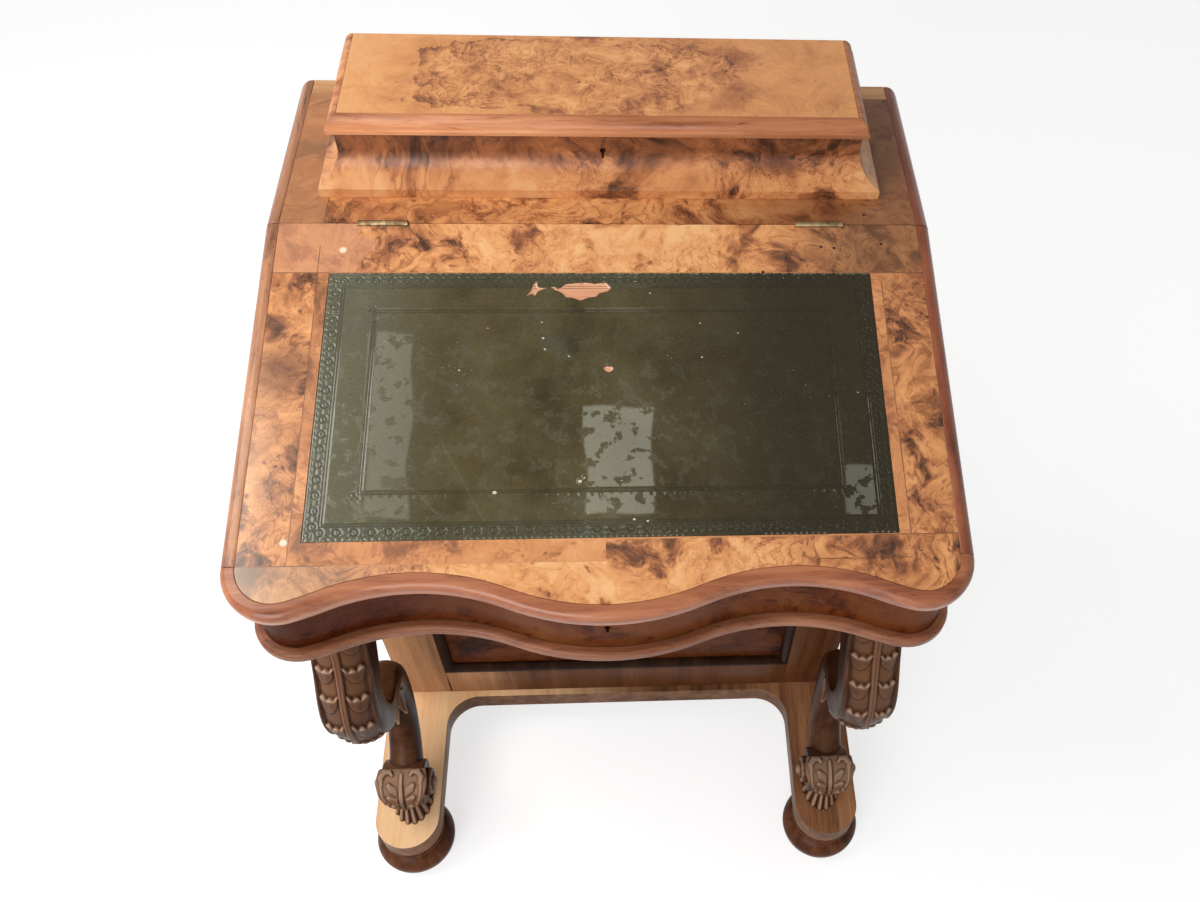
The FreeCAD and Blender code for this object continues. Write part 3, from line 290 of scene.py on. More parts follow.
def make_stage():
    """A pale floor that keeps the shadow, white behind it for the camera and mirrors, and soft light."""
    graph = Graph("floor_white")
    white = graph.finish(Base_Color=FLOOR_SHADE, Roughness=0.9, Emission_Color=WHITE,
                         Emission_Strength=seen(graph.tree) * FLOOR_GLOW)
    corners = [(x * FLOOR_HALF, y * FLOOR_HALF, 0) for x, y in ((-1, -1), (1, -1), (1, 1), (-1, 1))]
    floor = new_piece("floor", corners, [(0, 1, 2, 3)], white)
    world = bpy.data.worlds.new("studio")
    world.use_nodes = True
    scene.world = world
    tree = world.node_tree
    height = add(tree, "TexCoord", output="Generated").part("Z")
    backdrop = seen(tree) * height.range(*HORIZON)
    background = tree.nodes["Background"]
    put(tree, background.inputs["Color"], WHITE)
    put(tree, background.inputs["Strength"], backdrop.range(0, 1, SKY_LIGHT, 1))


def lamp(name, place, aim, size, power, tint=WHITE):
    data = bpy.data.lights.new(name, "AREA")
    data.shape = "RECTANGLE"
    data.size, data.size_y = size
    data.energy = power
    data.color = tint
    light = bpy.data.objects.new(name, data)
    light.location = place
    light.rotation_euler = (Vector(aim) - Vector(place)).to_track_quat("-Z", "Y").to_euler()
    scene.collection.objects.link(light)


make_stage()
lamp("window_left", (-1.1, -0.1, 1.75), (0, 0, 0.5), (1.1, 0.9), 17.5, DAYLIGHT)
lamp("fill", (-0.9, -2.1, 1.3), (0, 0, 0.4), (1.4, 1.2), 32)
# The far windows show as a sheen on the lid's left edge and as bright patches in the leather's varnish.
for count, (left, right, near, far, level) in enumerate(FAR_WINDOWS, 1):
    middle = ((left + right) / 2, (near + far) / 2)
    size = (right - left, far - near)
    power = level * math.pi * size[0] * size[1]
    lamp(f"window_far_{count}", (*middle, FAR_HEIGHT), (*middle, 0), size, power, FAR_DAYLIGHT)


# Wood: shades as they look on screen

BURR = ((0.18, (70, 40, 25)), (0.34, (124, 75, 46)), (0.48, (174, 109, 67)), (0.58, (206, 139, 86)),
        (0.68, (225, 158, 100)), (0.82, (236, 182, 126)))
MOULDING = ((104, 56, 38), (150, 88, 60), (176, 108, 74), (198, 130, 92))
FRONT_MOULDING = ((106, 57, 37), (152, 89, 59), (178, 112, 76), (198, 134, 95))
BOX_MOULDING = ((134, 78, 50), (190, 124, 84), (214, 150, 106), (226, 170, 126))
LIP = ((96, 54, 36), (136, 84, 58), (160, 104, 74), (182, 126, 92))
FRAME = ((100, 62, 39), (122, 78, 50), (138, 92, 60), (154, 106, 72))
BEAD = ((24, 12, 7), (36, 19, 11), (48, 26, 16), (62, 36, 22))
PLATFORM = ((82, 52, 34), (118, 78, 52), (144, 100, 68), (164, 118, 84))
PAINTED_LIGHT_TOP = ((222, 170, 122), (238, 190, 142), (244, 202, 154), (249, 212, 168))
TURNED = ((44, 22, 12), (74, 40, 23), (95, 54, 33), (116, 71, 46))
BACK = ((136, 94, 62), (182, 132, 88), (204, 154, 106), (218, 172, 124))
LINING = ((128, 96, 62), (172, 136, 92), (196, 160, 114), (212, 180, 134))
CARVED = ((40, 20, 11), (62, 34, 19), (80, 47, 28), (98, 62, 40))
CARCASE = ((84, 54, 36), (120, 80, 52), (146, 102, 66), (166, 122, 84))
JOINT, HOLE, CHIP = (74, 42, 28), (30, 16, 12), (232, 214, 190)

GRAIN_STRETCH = 0.045
GRAIN_SPAN = (0.32, 0.68)
GRAIN_DEPTH = 0.00012
HOLE_RADIUS = 0.0013
# Places on the lid: the leather's edges, the joints in the veneer, and where the underside starts.
LEATHER_HALF, LEATHER_TOP, LEATHER_LOW = 0.219, -0.048, -0.279
STRIP_JOINT = 0.2275
FRONT_JOINTS = (-0.297, -0.280)
UNDERSIDE = -0.004


def burr_tone(place, size=1.0, figure=1.0, smoky=0.34):
    """Burr walnut as a tone, dark at 0 and pale at 1: layers with a dark edge, curls, smoke and knots."""
    curled = place.swayed(9 / size, 0.10 * size).swayed(40 / size, 0.024 * size, 3)
    field = curled.noise(15 / size, 4, 0.55)
    layer = 1 - work("FRACT", field * 11)
    busy = (place + (0.4, 5.1, 3.2)).noise(9 / size, 2).range(0.38, 0.60, 0.3, 1.0)
    edge = layer ** 3 * (busy * (0.17 * figure))
    wave = work("SINE", curled.noise(88 / size, 2) * 36)
    curly = (place + (1.3, 2.2, 0.4)).noise(15 / size, 2).range(0.42, 0.60)
    line = abs(wave).range(0.55, 0.0) * (curly * (0.13 * figure))
    smoke = (curled + (2.0, 0.3, 1.1)).noise(17 / size, 5, 0.62)
    dark = smoke.range(0.50, 0.30) * (smoky * figure)
    rare = (place + (3.0, 1.0, 2.0)).noise(20 / size, 1).range(0.50, 0.62)
    knot = curled.cells(62 / size).range(0.30, 0.06) * (rare * (0.22 * figure))
    pores = place.noise(800, 2).range(0.60, 0.72) * 0.05
    cloud = field * 0.4 + curled.noise(34 / size, 5, 0.68) * 0.6
    return 0.66 + (cloud - 0.5) * (0.95 * figure) - edge - line - dark - knot - pores


def grain_tone(place, along):
    """Straight grain as a tone: streaks drawn out along one axis, with short dark pores."""
    stretch = [GRAIN_STRETCH if axis == along else 1.0 for axis in "xyz"]
    drawn = place.swayed(6, 0.02) * stretch
    pores = drawn.noise(900, 1).range(0.60, 0.74)
    return drawn.noise(110, 4, 0.6) * 0.55 + drawn.noise(26, 2) * 0.45 - pores * 0.10


def tones(stops, gain=WHITE):
    return [(at, [part * share for part, share in zip(colour(*shade), gain)]) for at, shade in stops]


def burr_shade(tone, gain=WHITE):
    return tone.ramp(tones(BURR, gain))


def grain_shade(tone, shades, gain=WHITE):
    """Shades spread over the tones of straight grain, from the dark streaks to the pale ones."""
    places = np.linspace(*GRAIN_SPAN, len(shades))
    return tone.ramp(tones(zip(places, shades), gain))


def polish(graph, base, tone, rough=0.36, coat=0.10, gloss=0.35):
    """The worn french polish on every wooden face: gloss that varies, and grain that can just be felt."""
    place = graph.place()
    smear = place.noise(16, 3)
    height = tone * 0.6 + place.noise(420, 2) * 0.4
    return graph.finish(Base_Color=base, Roughness=smear.range(0.3, 0.75, rough - 0.07, rough + 0.12),
                        Normal=height.bump(GRAIN_DEPTH, 0.5), Coat_Weight=coat, Coat_Roughness=0.14,
                        Specular_IOR_Level=gloss)


def spot(x, y, middle, radius, soft=0.3):
    """A mask over a small round spot."""
    dx, dy = x - middle[0], y - middle[1]
    away = work("SQRT", dx * dx + dy * dy)
    return away.range(radius * (1 + soft), radius * (1 - soft))


def lid_veneer():
    """The lid's veneers: a top strip, two side strips, each in two widths, and the shaped front piece."""
    graph = Graph("burr_walnut_lid")
    place = graph.lid_place()
    x, y, z = (place.part(axis) for axis in "XYZ")
    wide = abs(x)
    right = x.above(0)
    top = y.above(LEATHER_TOP)
    below_joint = y - right.range(0, 1, *FRONT_JOINTS)
    front = 1 - below_joint.above(0)
    side = 1 - top - front
    # Each leaf of veneer comes from another place in the burr.
    jump = side * (1.7 + right * 2.1) + front * 5.3 + wide.above(STRIP_JOINT) * side * 0.9
    shift = add(graph.tree, "CombineXYZ", {"X": jump, "Z": jump * 0.37})
    tone = burr_tone(place + shift, 0.72, 1.15)
    # The top and front pieces are pale in the middle, and the left side strip is darker; the right end is
    # darker too, in painted shade away from the light.
    lift = (1 - side) * wide.range(0.05, 0.20).range(0, 1, 0.075, -0.01)
    tone = tone + lift - x.range(0.10, 0.23, 0, 0.07) - side * x.range(-0.10, -0.23, 0, 0.09)
    ragged = x + place.noise(60, 2) * 0.05
    pink_end = top * ragged.below(-0.163, 0.004)
    # Painted shade at the right end of the top strip.
    dark_end = top * ragged.range(0.15, 0.24)
    # Painted sheen on the front-left corner, where a window's reflection falls.
    painted_sheen_corner = front * x.range(-0.09, -0.23)
    inner_strip = side * wide.below(STRIP_JOINT)
    cloud = spot(x, y, (-0.246, -0.138), 0.022, 0.8)
    # Joints between the leaves, open in places, and two cracks.
    open_joint = place.noise(35, 2).range(0.38, 0.52)
    seam = most(
        wide.above(LEATHER_HALF) * y.line(LEATHER_TOP),
        wide.above(0.200) * below_joint.line(0),
        side * wide.line(0.2274) * open_joint,
        x.between(0.157, 0.226, 0.002) * y.line(-0.29825, CRACK),
        x.line(-0.22815, CRACK) * y.between(-0.078, -0.022, 0.001),
    )
    holes = ((0.180, -0.0226), (0.1908, -0.0236), (0.231, -0.0195), (0.1299, -0.0474))
    chips = (((-0.2099, -0.0263), 0.0028), ((-0.2310, -0.2789), 0.0026))
    base = stained(
        burr_shade(tone),
        (pink_end * 0.62, (196, 136, 103)),
        # Painted shade: the top strip's right end darker.
        (dark_end * 0.60, (112, 76, 48)),
        # Painted sheen: the front piece paler at its left corner.
        (painted_sheen_corner * 0.50, (170, 136, 110)),
        (inner_strip * 0.35, (196, 128, 84)),
        (cloud * 0.6, (96, 56, 36)),
        (seam * 0.75, JOINT),
        (most(*(spot(x, y, hole, HOLE_RADIUS) for hole in holes)), HOLE),
        (most(*(spot(x, y, chip, radius, 0.25) for chip, radius in chips)), CHIP),
    )
    base = z.below(UNDERSIDE).mix(base, grain_shade(grain_tone(place, "x"), CARCASE))
    return polish(graph, base, tone - seam, 0.34, 0.5)


def top_veneer():
    """The fixed top behind the hinge line: burr, plainer at the left end, with painted shade towards the
    right where the box's shadow falls.
    """
    graph = Graph("burr_walnut_top")
    place = graph.place()
    x, y = (place.part(axis) for axis in "XY")
    tone = burr_tone(place + (2.4, 0.6, 0.2), 0.8, 1.1)
    base = stained(
        burr_shade(tone + x.range(-0.26, -0.02, -0.12, -0.02)),
        (x.below(-STRIP_JOINT) * 0.65, (176, 124, 84)),
        # Painted shade: darker towards the right, where the box's shadow falls.
        (x.range(0.0, 0.22, 0, 0.72), (104, 60, 37)),
        (x.line(-0.22755, CRACK) * 0.7, JOINT),
        (spot(x, y, (0.2196, 0.0822), HOLE_RADIUS), HOLE),
    )
    return polish(graph, base, tone)


def box_lid_veneer():
    """The stationery lid: an oval of curls inside a smoky line, between plain golden ends."""
    graph = Graph("burr_walnut_box_lid")
    place = graph.place()
    x, y = (place.part(axis) for axis in "XY")
    low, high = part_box("stationery_lid")
    middle, half = (low + high) / 2, (high - low) / 2
    across = (x + 0.024) / (0.62 * half[0])
    deep = (y - middle[1]) / (0.95 * half[1])
    ragged = place.swayed(30, 0.03).noise(26, 4, 0.6)
    away = work("SQRT", abs(across) ** 3 + abs(deep) ** 3) + (ragged - 0.5) * 1.3
    oval = away.range(1.02, 0.98)
    broken = place.noise(32, 3).range(0.36, 0.62, 0.1, 1.0)
    border = oval * broken * away.range(0.78, 1.0, 0, 0.20)
    fringe = (1 - oval) * broken * away.range(1.6, 1.0, 0, 0.12)
    plain = x.range(-0.12, 0.02, 0.76, 0.63)
    figure = burr_tone(place + (6.2, 3.1, 0.9), 0.5, 1.1, 0.12) - plain
    tone = plain + figure * oval.range(0.0, 1.0, 0.35, 1.0) - border - fringe
    return polish(graph, burr_shade(tone), tone)


def cove_veneer():
    """The coved front and sides of the stationery box: painted shade towards the top, under the lid, pale at
    the foot.
    """
    graph = Graph("burr_walnut_cove")
    place = graph.place()
    low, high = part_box("stationery_front")
    ragged = place.swayed(14, 0.08).noise(20, 4, 0.6)
    height = place.part("Z") + (ragged - 0.5) * 0.05
    # Painted shade: a darker band towards the top, under the lid.
    smoke = height.range((low[2] + high[2]) / 2 - 0.012, high[2] - 0.016, 0.0, 0.30)
    tone = burr_tone(place + (4.2, 7.7, 1.2)) + 0.04 - smoke
    return polish(graph, burr_shade(tone, (0.84, 0.80, 0.80)), tone, 0.34, 0.06)


def frieze_veneer():
    """Dark burr on the serpentine frieze, with painted shade at the left end, paler in the middle, and a leaf
    let in towards the right.
    """
    graph = Graph("frieze_walnut")
    place = graph.place()
    x = place.part("X")
    tone = burr_tone(place + (9.1, 4.4, 2.7))
    # The first gain is painted shade: the left end in the lid's shadow.
    gains = ((0.10, 0.045, 0.025), (0.20, 0.125, 0.09), (0.18, 0.10, 0.06))
    left, heart, leaf = (burr_shade(tone, gain) for gain in gains)
    leaf_start, leaf_end = 0.157, 0.2605
    base = x.between(leaf_start, leaf_end).mix(x.range(-0.19, -0.03).mix(left, heart), leaf)
    base = stained(base, (x.line(leaf_start) * 0.6, (50, 28, 20)))
    return polish(graph, base, tone, 0.34, 0.0, 0.05)


def burr_wood(name, offset, gain, gloss=0.35):
    graph = Graph(name)
    tone = burr_tone(graph.place() + offset)
    return polish(graph, burr_shade(tone, gain), tone, coat=0.0, gloss=gloss)


def plain_wood(name, along, shades, rough=0.38, coat=0.08, gloss=0.3):
    """Plain walnut with its grain along an axis."""
    graph = Graph(name)
    tone = grain_tone(graph.place(), along)
    return polish(graph, grain_shade(tone, shades), tone, rough, coat, gloss)


def faded_and_lit_wood(name, along, shades, left, right, span=(0.15, -0.20), rough=0.38, coat=0.05, gloss=0.25):
    """Plain walnut, paler on the left and darker on the right: partly faded, partly painted light from the
    left and painted shade on the right.
    """
    graph = Graph(name)
    place = graph.place()
    tone = grain_tone(place, along)
    dark, pale = (grain_shade(tone, shades, gain) for gain in (right, left))
    return polish(graph, place.part("X").range(*span).mix(dark, pale), tone, rough, coat, gloss)


def platform_walnut():
    """The platform: painted light on top at the left, paler on top at the right, and a darker brown on its
    edges and in the middle, partly painted shade.
    """
    graph = Graph("platform_walnut")
    place = graph.place()
    x = place.part("X")
    tone = grain_tone(place, "y")
    brown, mild = (grain_shade(tone, PLATFORM, (gain, gain, gain)) for gain in (0.75, 1.5))
    # Painted light on the tops, most at the left; the darker brown elsewhere is partly painted shade.
    top = graph.upward().range(0.5, 0.95)
    brown = (top * x.range(0.10, 0.22)).mix(brown, mild)
    base = (top * x.range(0.06, -0.14)).mix(brown, grain_shade(tone, PAINTED_LIGHT_TOP))
    return polish(graph, base, tone, 0.42, 0.0, 0.10)


def metal(name, shade, stain):
    """Old drawn metal: a dull stain over it and fine scratches."""
    graph = Graph(name)
    place = graph.place()
    dull = place.noise(90, 4, 0.6).range(0.38, 0.66)
    scratch = (place * (1, 30, 30)).noise(60, 2)
    return graph.finish(Base_Color=dull.mix(colour(*shade), colour(*stain)), Metallic=1.0,
                        Roughness=dull * 0.18 + scratch * 0.12 + 0.34, Normal=scratch.bump(0.0001, 0.4))


# Finishes and softened edges of the CAD nodes

FINE = ("hinge", "strike", "lock", "pins")
FINE_EDGE, WORN_EDGE = 0.0002, 0.0008


def soften(node, width):
    """Rounds the hard edges of a node as worn wood is, with modifiers alone."""
    weld = node.modifiers.new("weld", "WELD")
    weld.merge_threshold = 1e-6
    flat = node.modifiers.new("flat", "DECIMATE")
    flat.decimate_type = "DISSOLVE"
    flat.angle_limit = math.radians(0.4)
    bevel = node.modifiers.new("edges", "BEVEL")
    bevel.width = width
    bevel.segments = 2
    bevel.limit_method = "ANGLE"
    bevel.angle_limit = math.radians(32)
    node.modifiers.new("even", "WEIGHTED_NORMAL")
    for face in node.data.polygons:
        face.use_smooth = True


def dress(finish, *names):
    """Gives nodes a finish and softens their edges."""
    for name in names:
        node = frame["nodes"][name]
        node.data.materials.clear()
        node.data.materials.append(finish)
        soften(node, FINE_EDGE if any(word in name for word in FINE) else WORN_EDGE)


def for_drawers(part):
    return [f"drawer_{number}_{part}" for number in range(1, 5)]


feet = [f"foot_{corner}" for corner in ("front_left", "front_right", "rear_left", "rear_right")]
dress(lid_veneer(), "lid_panel")
dress(top_veneer(), "top_board")
dress(box_lid_veneer(), "stationery_lid")
dress(cove_veneer(), "stationery_front", "stationery_sides")
dress(frieze_veneer(), "frieze_front")
dress(burr_wood("burr_walnut_side", (12.5, 2.2, 5.1), (0.80, 0.74, 0.70)),
      "desk_left_side", "desk_right_side")
dress(burr_wood("burr_walnut_drawer", (15.0, 8.2, 3.3), (0.72, 0.64, 0.60)),
      "dummy_drawer_fronts", *for_drawers("front"))
dress(burr_wood("burr_walnut_panel", (7.3, 1.9, 4.6), (0.15, 0.085, 0.055), 0.05),
      "pedestal_front_panel", "pedestal_back_panel")
# Painted light on the left mouldings and painted shade on the right, partly fading.
dress(faded_and_lit_wood("walnut_moulding_side", "y", MOULDING, (1.22, 1.62, 1.72), (0.72, 0.62, 0.62), coat=0.4),
      "lid_side_mouldings", "top_side_mouldings")
# Painted shade on the right of the box's moulding.
dress(faded_and_lit_wood("walnut_moulding_box", "x", BOX_MOULDING, WHITE, (0.70, 0.62, 0.58)),
      "stationery_lid_moulding")
# Painted light on the frame's left stile and painted shade at the right, partly fading.
dress(faded_and_lit_wood("walnut_frame", "z", FRAME, (2.2, 2.6, 3.0), (0.50, 0.42, 0.36), (-0.10, -0.20), 0.45,
                 gloss=0.05), "pedestal_front_frame", "pedestal_back_frame")
dress(plain_wood("walnut_moulding_front", "x", FRONT_MOULDING, coat=0.25), "lid_front_moulding")
dress(plain_wood("walnut_moulding_lip", "x", LIP, gloss=0.18), "frieze_moulding")
dress(plain_wood("walnut_rail", "y", FRAME), "drawer_rails", "dummy_drawer_rails")
dress(plain_wood("walnut_bead", "z", BEAD, 0.36, 0.0, 0.05),
      "pedestal_front_moulding", "pedestal_back_moulding")
dress(plain_wood("walnut_back", "x", BACK), "desk_back")
dress(plain_wood("turned_walnut", "z", TURNED, 0.34, 0.0, 0.08),
      "dummy_drawer_knobs", *for_drawers("knobs"), *feet)
dress(plain_wood("drawer_lining", "x", LINING, 0.62, 0.0),
      "letter_dividers", "drawer_runners", *for_drawers("box"))
dress(plain_wood("carcase_walnut", "x", CARCASE, 0.5, 0.05),
      "stationery_back", "desk_bottom", "pedestal_left_side")
dress(platform_walnut(), "base_platform")
dress(metal("aged_brass", (186, 164, 124), (120, 98, 70)),
      "hinge_fixed_leaves", "lid_hinge_leaves", "stationery_lid_hinge_leaves", "hinge_pins",
      "lid_strike_plate", "stationery_strike_plate", "lid_lock_bolt", "stationery_lock_bolt")
dress(metal("dull_steel", (150, 148, 144), (84, 78, 72)), "lid_lock_case", "stationery_lock_case")


# Tooled leather, in millimetres across from its middle and down from its top edge

LEATHER = ((0.30, (56, 48, 26)), (0.46, (78, 69, 41)), (0.60, (88, 80, 53)), (0.75, (104, 97, 71)))
BARE_WOOD = ((0.3, (196, 134, 102)), (0.5, (220, 160, 124)), (0.7, (230, 176, 140)))
SHEET_GAP = 0.15
SHEET_HALF = LEATHER_HALF * MM - SHEET_GAP
SHEET_LENGTH = (LEATHER_TOP - LEATHER_LOW) * MM - 2 * SHEET_GAP
SHEET_UNDER = -1.45
BAND = 17
TOOL_HALF, TOOL_TOP, TOOL_LOW = 179.0, 37.0, 191.5
TOOL_LINE, TOOL_MARGIN = 0.75, 3
FINE_STEP, COARSE_STEP = 0.6, 1.05
# Outlines of the tears, middles and sizes of the flecks, and lines of the scratches.
TEARS = (
    ((-38.5, 16.5), (-31, 10.5), (-24, 9.8), (-15.5, 9.0), (-8, 10.2), (0.5, 9.2), (5.5, 14.5), (1.5, 18.0),
     (-4, 19.0), (-7, 22.6), (-13, 23.4), (-19.5, 26.2), (-25, 23.8), (-31, 23.0), (-34, 19.0)),
    ((-63.5, 22.5), (-58.8, 17.2), (-57.0, 10.5), (-54.4, 8.0), (-53.8, 13.6), (-46.5, 14.2), (-53.4, 17.4),
     (-55.4, 21.8), (-58.2, 19.4)),
    ((-43.5, 13.6), (-40.5, 13.0), (-37.5, 15.5), (-38.6, 16.9)),
    ((-1.2, 88.2), (1.6, 86.4), (5.8, 87.6), (6.2, 90.4), (3.0, 92.2), (0.2, 90.8)),
)
FLECKS = ((-49.4, 46.6, 0.8), (-48.4, 61.3, 1.2), (-46.7, 71.3, 1.0), (-112.5, 89.7, 0.9), (-27.9, 77.7, 0.9),
          (36.8, 19.6, 0.9), (76.2, 48.0, 0.9), (106.3, 57.4, 0.9), (76.6, 79.3, 1.0), (198.3, 111.7, 0.8),
          (-19.0, 185.2, 1.6), (-15.6, 182.4, 0.9), (-92.0, 52.0, 0.8), (12.0, 184.8, 0.8),
          (21.0, 216.5, 1.1), (31.0, 218.0, 1.0), (-82.0, 193.5, 1.7))
SCRATCHES = (((-124.5, 147.5), (-117, 163), (-110, 176), (-104, 186)),
             ((-103, 188), (-96, 203), (-88.5, 216.0)),
             ((-150, 186), (-138, 192), (-130, 203), (-122, 210)))


def ease(value, low, high):
    share = np.clip((value - low) / (high - low), 0, 1)
    return share * share * (3 - 2 * share)


def greatest(layers):
    return np.maximum.reduce(list(layers))


def nearest(x, y, start, end):
    """How far each place is from a straight line, and where along it the nearest point is, from 0 to 1."""
    dx, dy = end[0] - start[0], end[1] - start[1]
    share = np.clip(((x - start[0]) * dx + (y - start[1]) * dy) / (dx * dx + dy * dy), 0, 1)
    return np.hypot(x - start[0] - share * dx, y - start[1] - share * dy), share


def line_distance(x, y, points):
    return np.minimum.reduce([nearest(x, y, start, end)[0] for start, end in zip(points, points[1:])])


def depth_inside(x, y, corners):
    """How deep each place lies inside an outline, less than 0 outside it."""
    closed = corners + corners[:1]
    found = np.zeros(x.shape, bool)
    for (ax, ay), (bx, by) in zip(closed, closed[1:]):
        crosses = (ay > y) != (by > y)
        found ^= crosses & (x < (bx - ax) * (y - ay) / (by - ay) + ax)
    away = line_distance(x, y, closed)
    return np.where(found, away, -away)


def within(depth):
    """A share that is 0.5 at an outline, and changes evenly for 2 mm each way."""
    return np.clip(0.5 + depth / 4, 0, 1)


def groove(away, half):
    """A soft pressed line: 1 in its middle, 0 beyond its width."""
    return np.clip(1 - (away / half) ** 2, 0, 1) ** 1.5


def repeated(run, pitch):
    """The way from the middle of the nearest of a row of marks."""
    return (run + 500) % pitch - pitch / 2


def steps(low, high, *lines):
    """Places from edge to edge of the sheet, closer together in its border and by the inner frame's lines."""
    spans = [(low, low + BAND), (high - BAND, high)]
    spans += [(line - TOOL_MARGIN, line + TOOL_MARGIN) for line in lines]
    places = [low]
    while places[-1] < high - FINE_STEP / 2:
        close = any(start <= places[-1] < stop for start, stop in spans)
        places.append(min(places[-1] + (FINE_STEP if close else COARSE_STEP), high))
    return places


def border_tooling(edge, run):
    """A dotted edge line, rings with a dot and leaf strokes between them, then two plain lines."""
    dots = np.hypot(edge - 2.0, repeated(run, 5.2))
    ring_run = repeated(run, 12.5)
    ring = np.hypot(edge - 7.2, ring_run)
    stroke_run = np.abs(np.abs(ring_run) - 5.2)
    strokes = [np.hypot(stroke_run * 1.5, (edge - at) * 0.7) for at in (5.2, 9.6)]
    return [0.8 * groove(dots, 1.3), groove(np.abs(ring - 2.7), 0.95), groove(ring, 1.0),
            *(0.8 * groove(stroke, 1.3) for stroke in strokes),
            *(groove(np.abs(edge - at), TOOL_LINE) for at in (11.9, 13.8))]


def frame_tooling(x, y):
    """The inner frame: two lines, a dotted row outside the lower one, and a small leaf at each corner."""
    past_x, past_y = np.abs(x) - TOOL_HALF, np.maximum(TOOL_TOP - y, y - TOOL_LOW)
    outside = np.maximum(past_x, past_y)
    marks = [0.9 * groove(np.abs(outside - at), TOOL_LINE) for at in (0.0, 1.8)]
    row = np.hypot(y - TOOL_LOW - 3.8, repeated(x, 7.7))
    marks.append(0.4 * groove(row, 1.1) * (past_x < 0))
    for angle in np.radians((20, 45, 70)):
        for reach, size in ((5.0, 1.7), (8.5, 1.3)):
            away = np.hypot(past_x - reach * math.cos(angle), past_y - reach * math.sin(angle))
            marks.append(0.8 * groove(away, size))
    return marks


def scuffs(x, y):
    """Scratches, a ragged top edge and the remains of gilding along the lower one."""
    torn_off = y < 1.1 + 0.6 * np.sin(x * 0.9) * np.sin(x * 0.37 + 1)
    ragged = torn_off & (np.abs(np.sin(x * 2.1 + np.sin(x))) > 0.55)
    dots = groove(np.hypot(SHEET_LENGTH - y - 1.0, repeated(x, 4.4)), 1.0)
    gilt = dots * (np.sin(x / 17) + np.sin(x / 41 + 2) > -0.5)
    scratches = [0.05 * groove(line_distance(x, y, points), 0.9) for points in SCRATCHES]
    return [0.35 * ragged, 0.35 * gilt, *scratches]


def leather_finish():
    """Old green skiver under a varnish: grey at the edges, painted sheen at the left, painted shade at the
    right, worn and torn.
    """
    graph = Graph("green_leather")
    place = graph.lid_place()
    x, y = (place.part(axis) for axis in "XY")
    wear = place.noise(13, 5, 0.62)
    edge = work("MINIMUM", LEATHER_HALF - abs(x), work("MINIMUM", LEATHER_TOP - y, y - LEATHER_LOW))
    left = (x + wear * 0.10).range(-0.06, -0.16)
    smoke = place.swayed(8, 0.08).noise(24, 4, 0.6).range(0.56, 0.72)
    fine = place.noise(420, 4, 0.7)
    specks = place.cells(210).range(0.10, 0.05) * place.noise(22, 2).range(0.55, 0.66)
    worn = most(specks * 0.6, graph.stored("fleck").range(0.46, 0.54), graph.stored("scuff"))
    base = stained(
        wear.ramp(tones(LEATHER)),
        (edge.range(0.016, 0.010) * 0.55, (72, 72, 56)),
        # Painted sheen: paler at the left.
        (left * 0.6, (112, 111, 93)),
        # Painted shade: darker at the right.
        (x.range(-0.02, 0.16, 0, 0.9), (44, 36, 19)),
        # Painted reflection: a bluish grey cloud, strongest at the left.
        (smoke * x.range(0.10, -0.08, 0.08, 0.32), (94, 100, 92)),
        (fine.range(0.50, 0.36, 0, 0.22), (30, 25, 13)),
        (fine.range(0.56, 0.70, 0, 0.16), (122, 115, 88)),
        (graph.stored("press") * 0.50, (30, 27, 16)),
        (worn, (206, 200, 180)),
    )
    torn = graph.stored("bare") + (place.noise(380, 3) - 0.5) * 0.22
    base = torn.range(0.47, 0.53).mix(base, grain_tone(place, "x").ramp(tones(BARE_WOOD)))
    height = place.cells(1500, "SMOOTH_F1") * 0.5 + place.noise(240, 3) * 0.5
    dull = place.noise(75, 5, 0.62).range(0.54, 0.57)
    return graph.finish(Base_Color=base, Roughness=0.02 + dull * 0.22,
                        Normal=height.bump(0.00018, 0.01 + dull * 0.6), Specular_IOR_Level=0.45)


def set_in_lid(flat):
    """Places in the sheet's millimetres, moved to where the sheet lies in the lid."""
    turn = np.array(Matrix.Rotation(SLOPE, 3, "X"))
    return flat / MM @ turn.T + np.array(LID_ORIGIN)


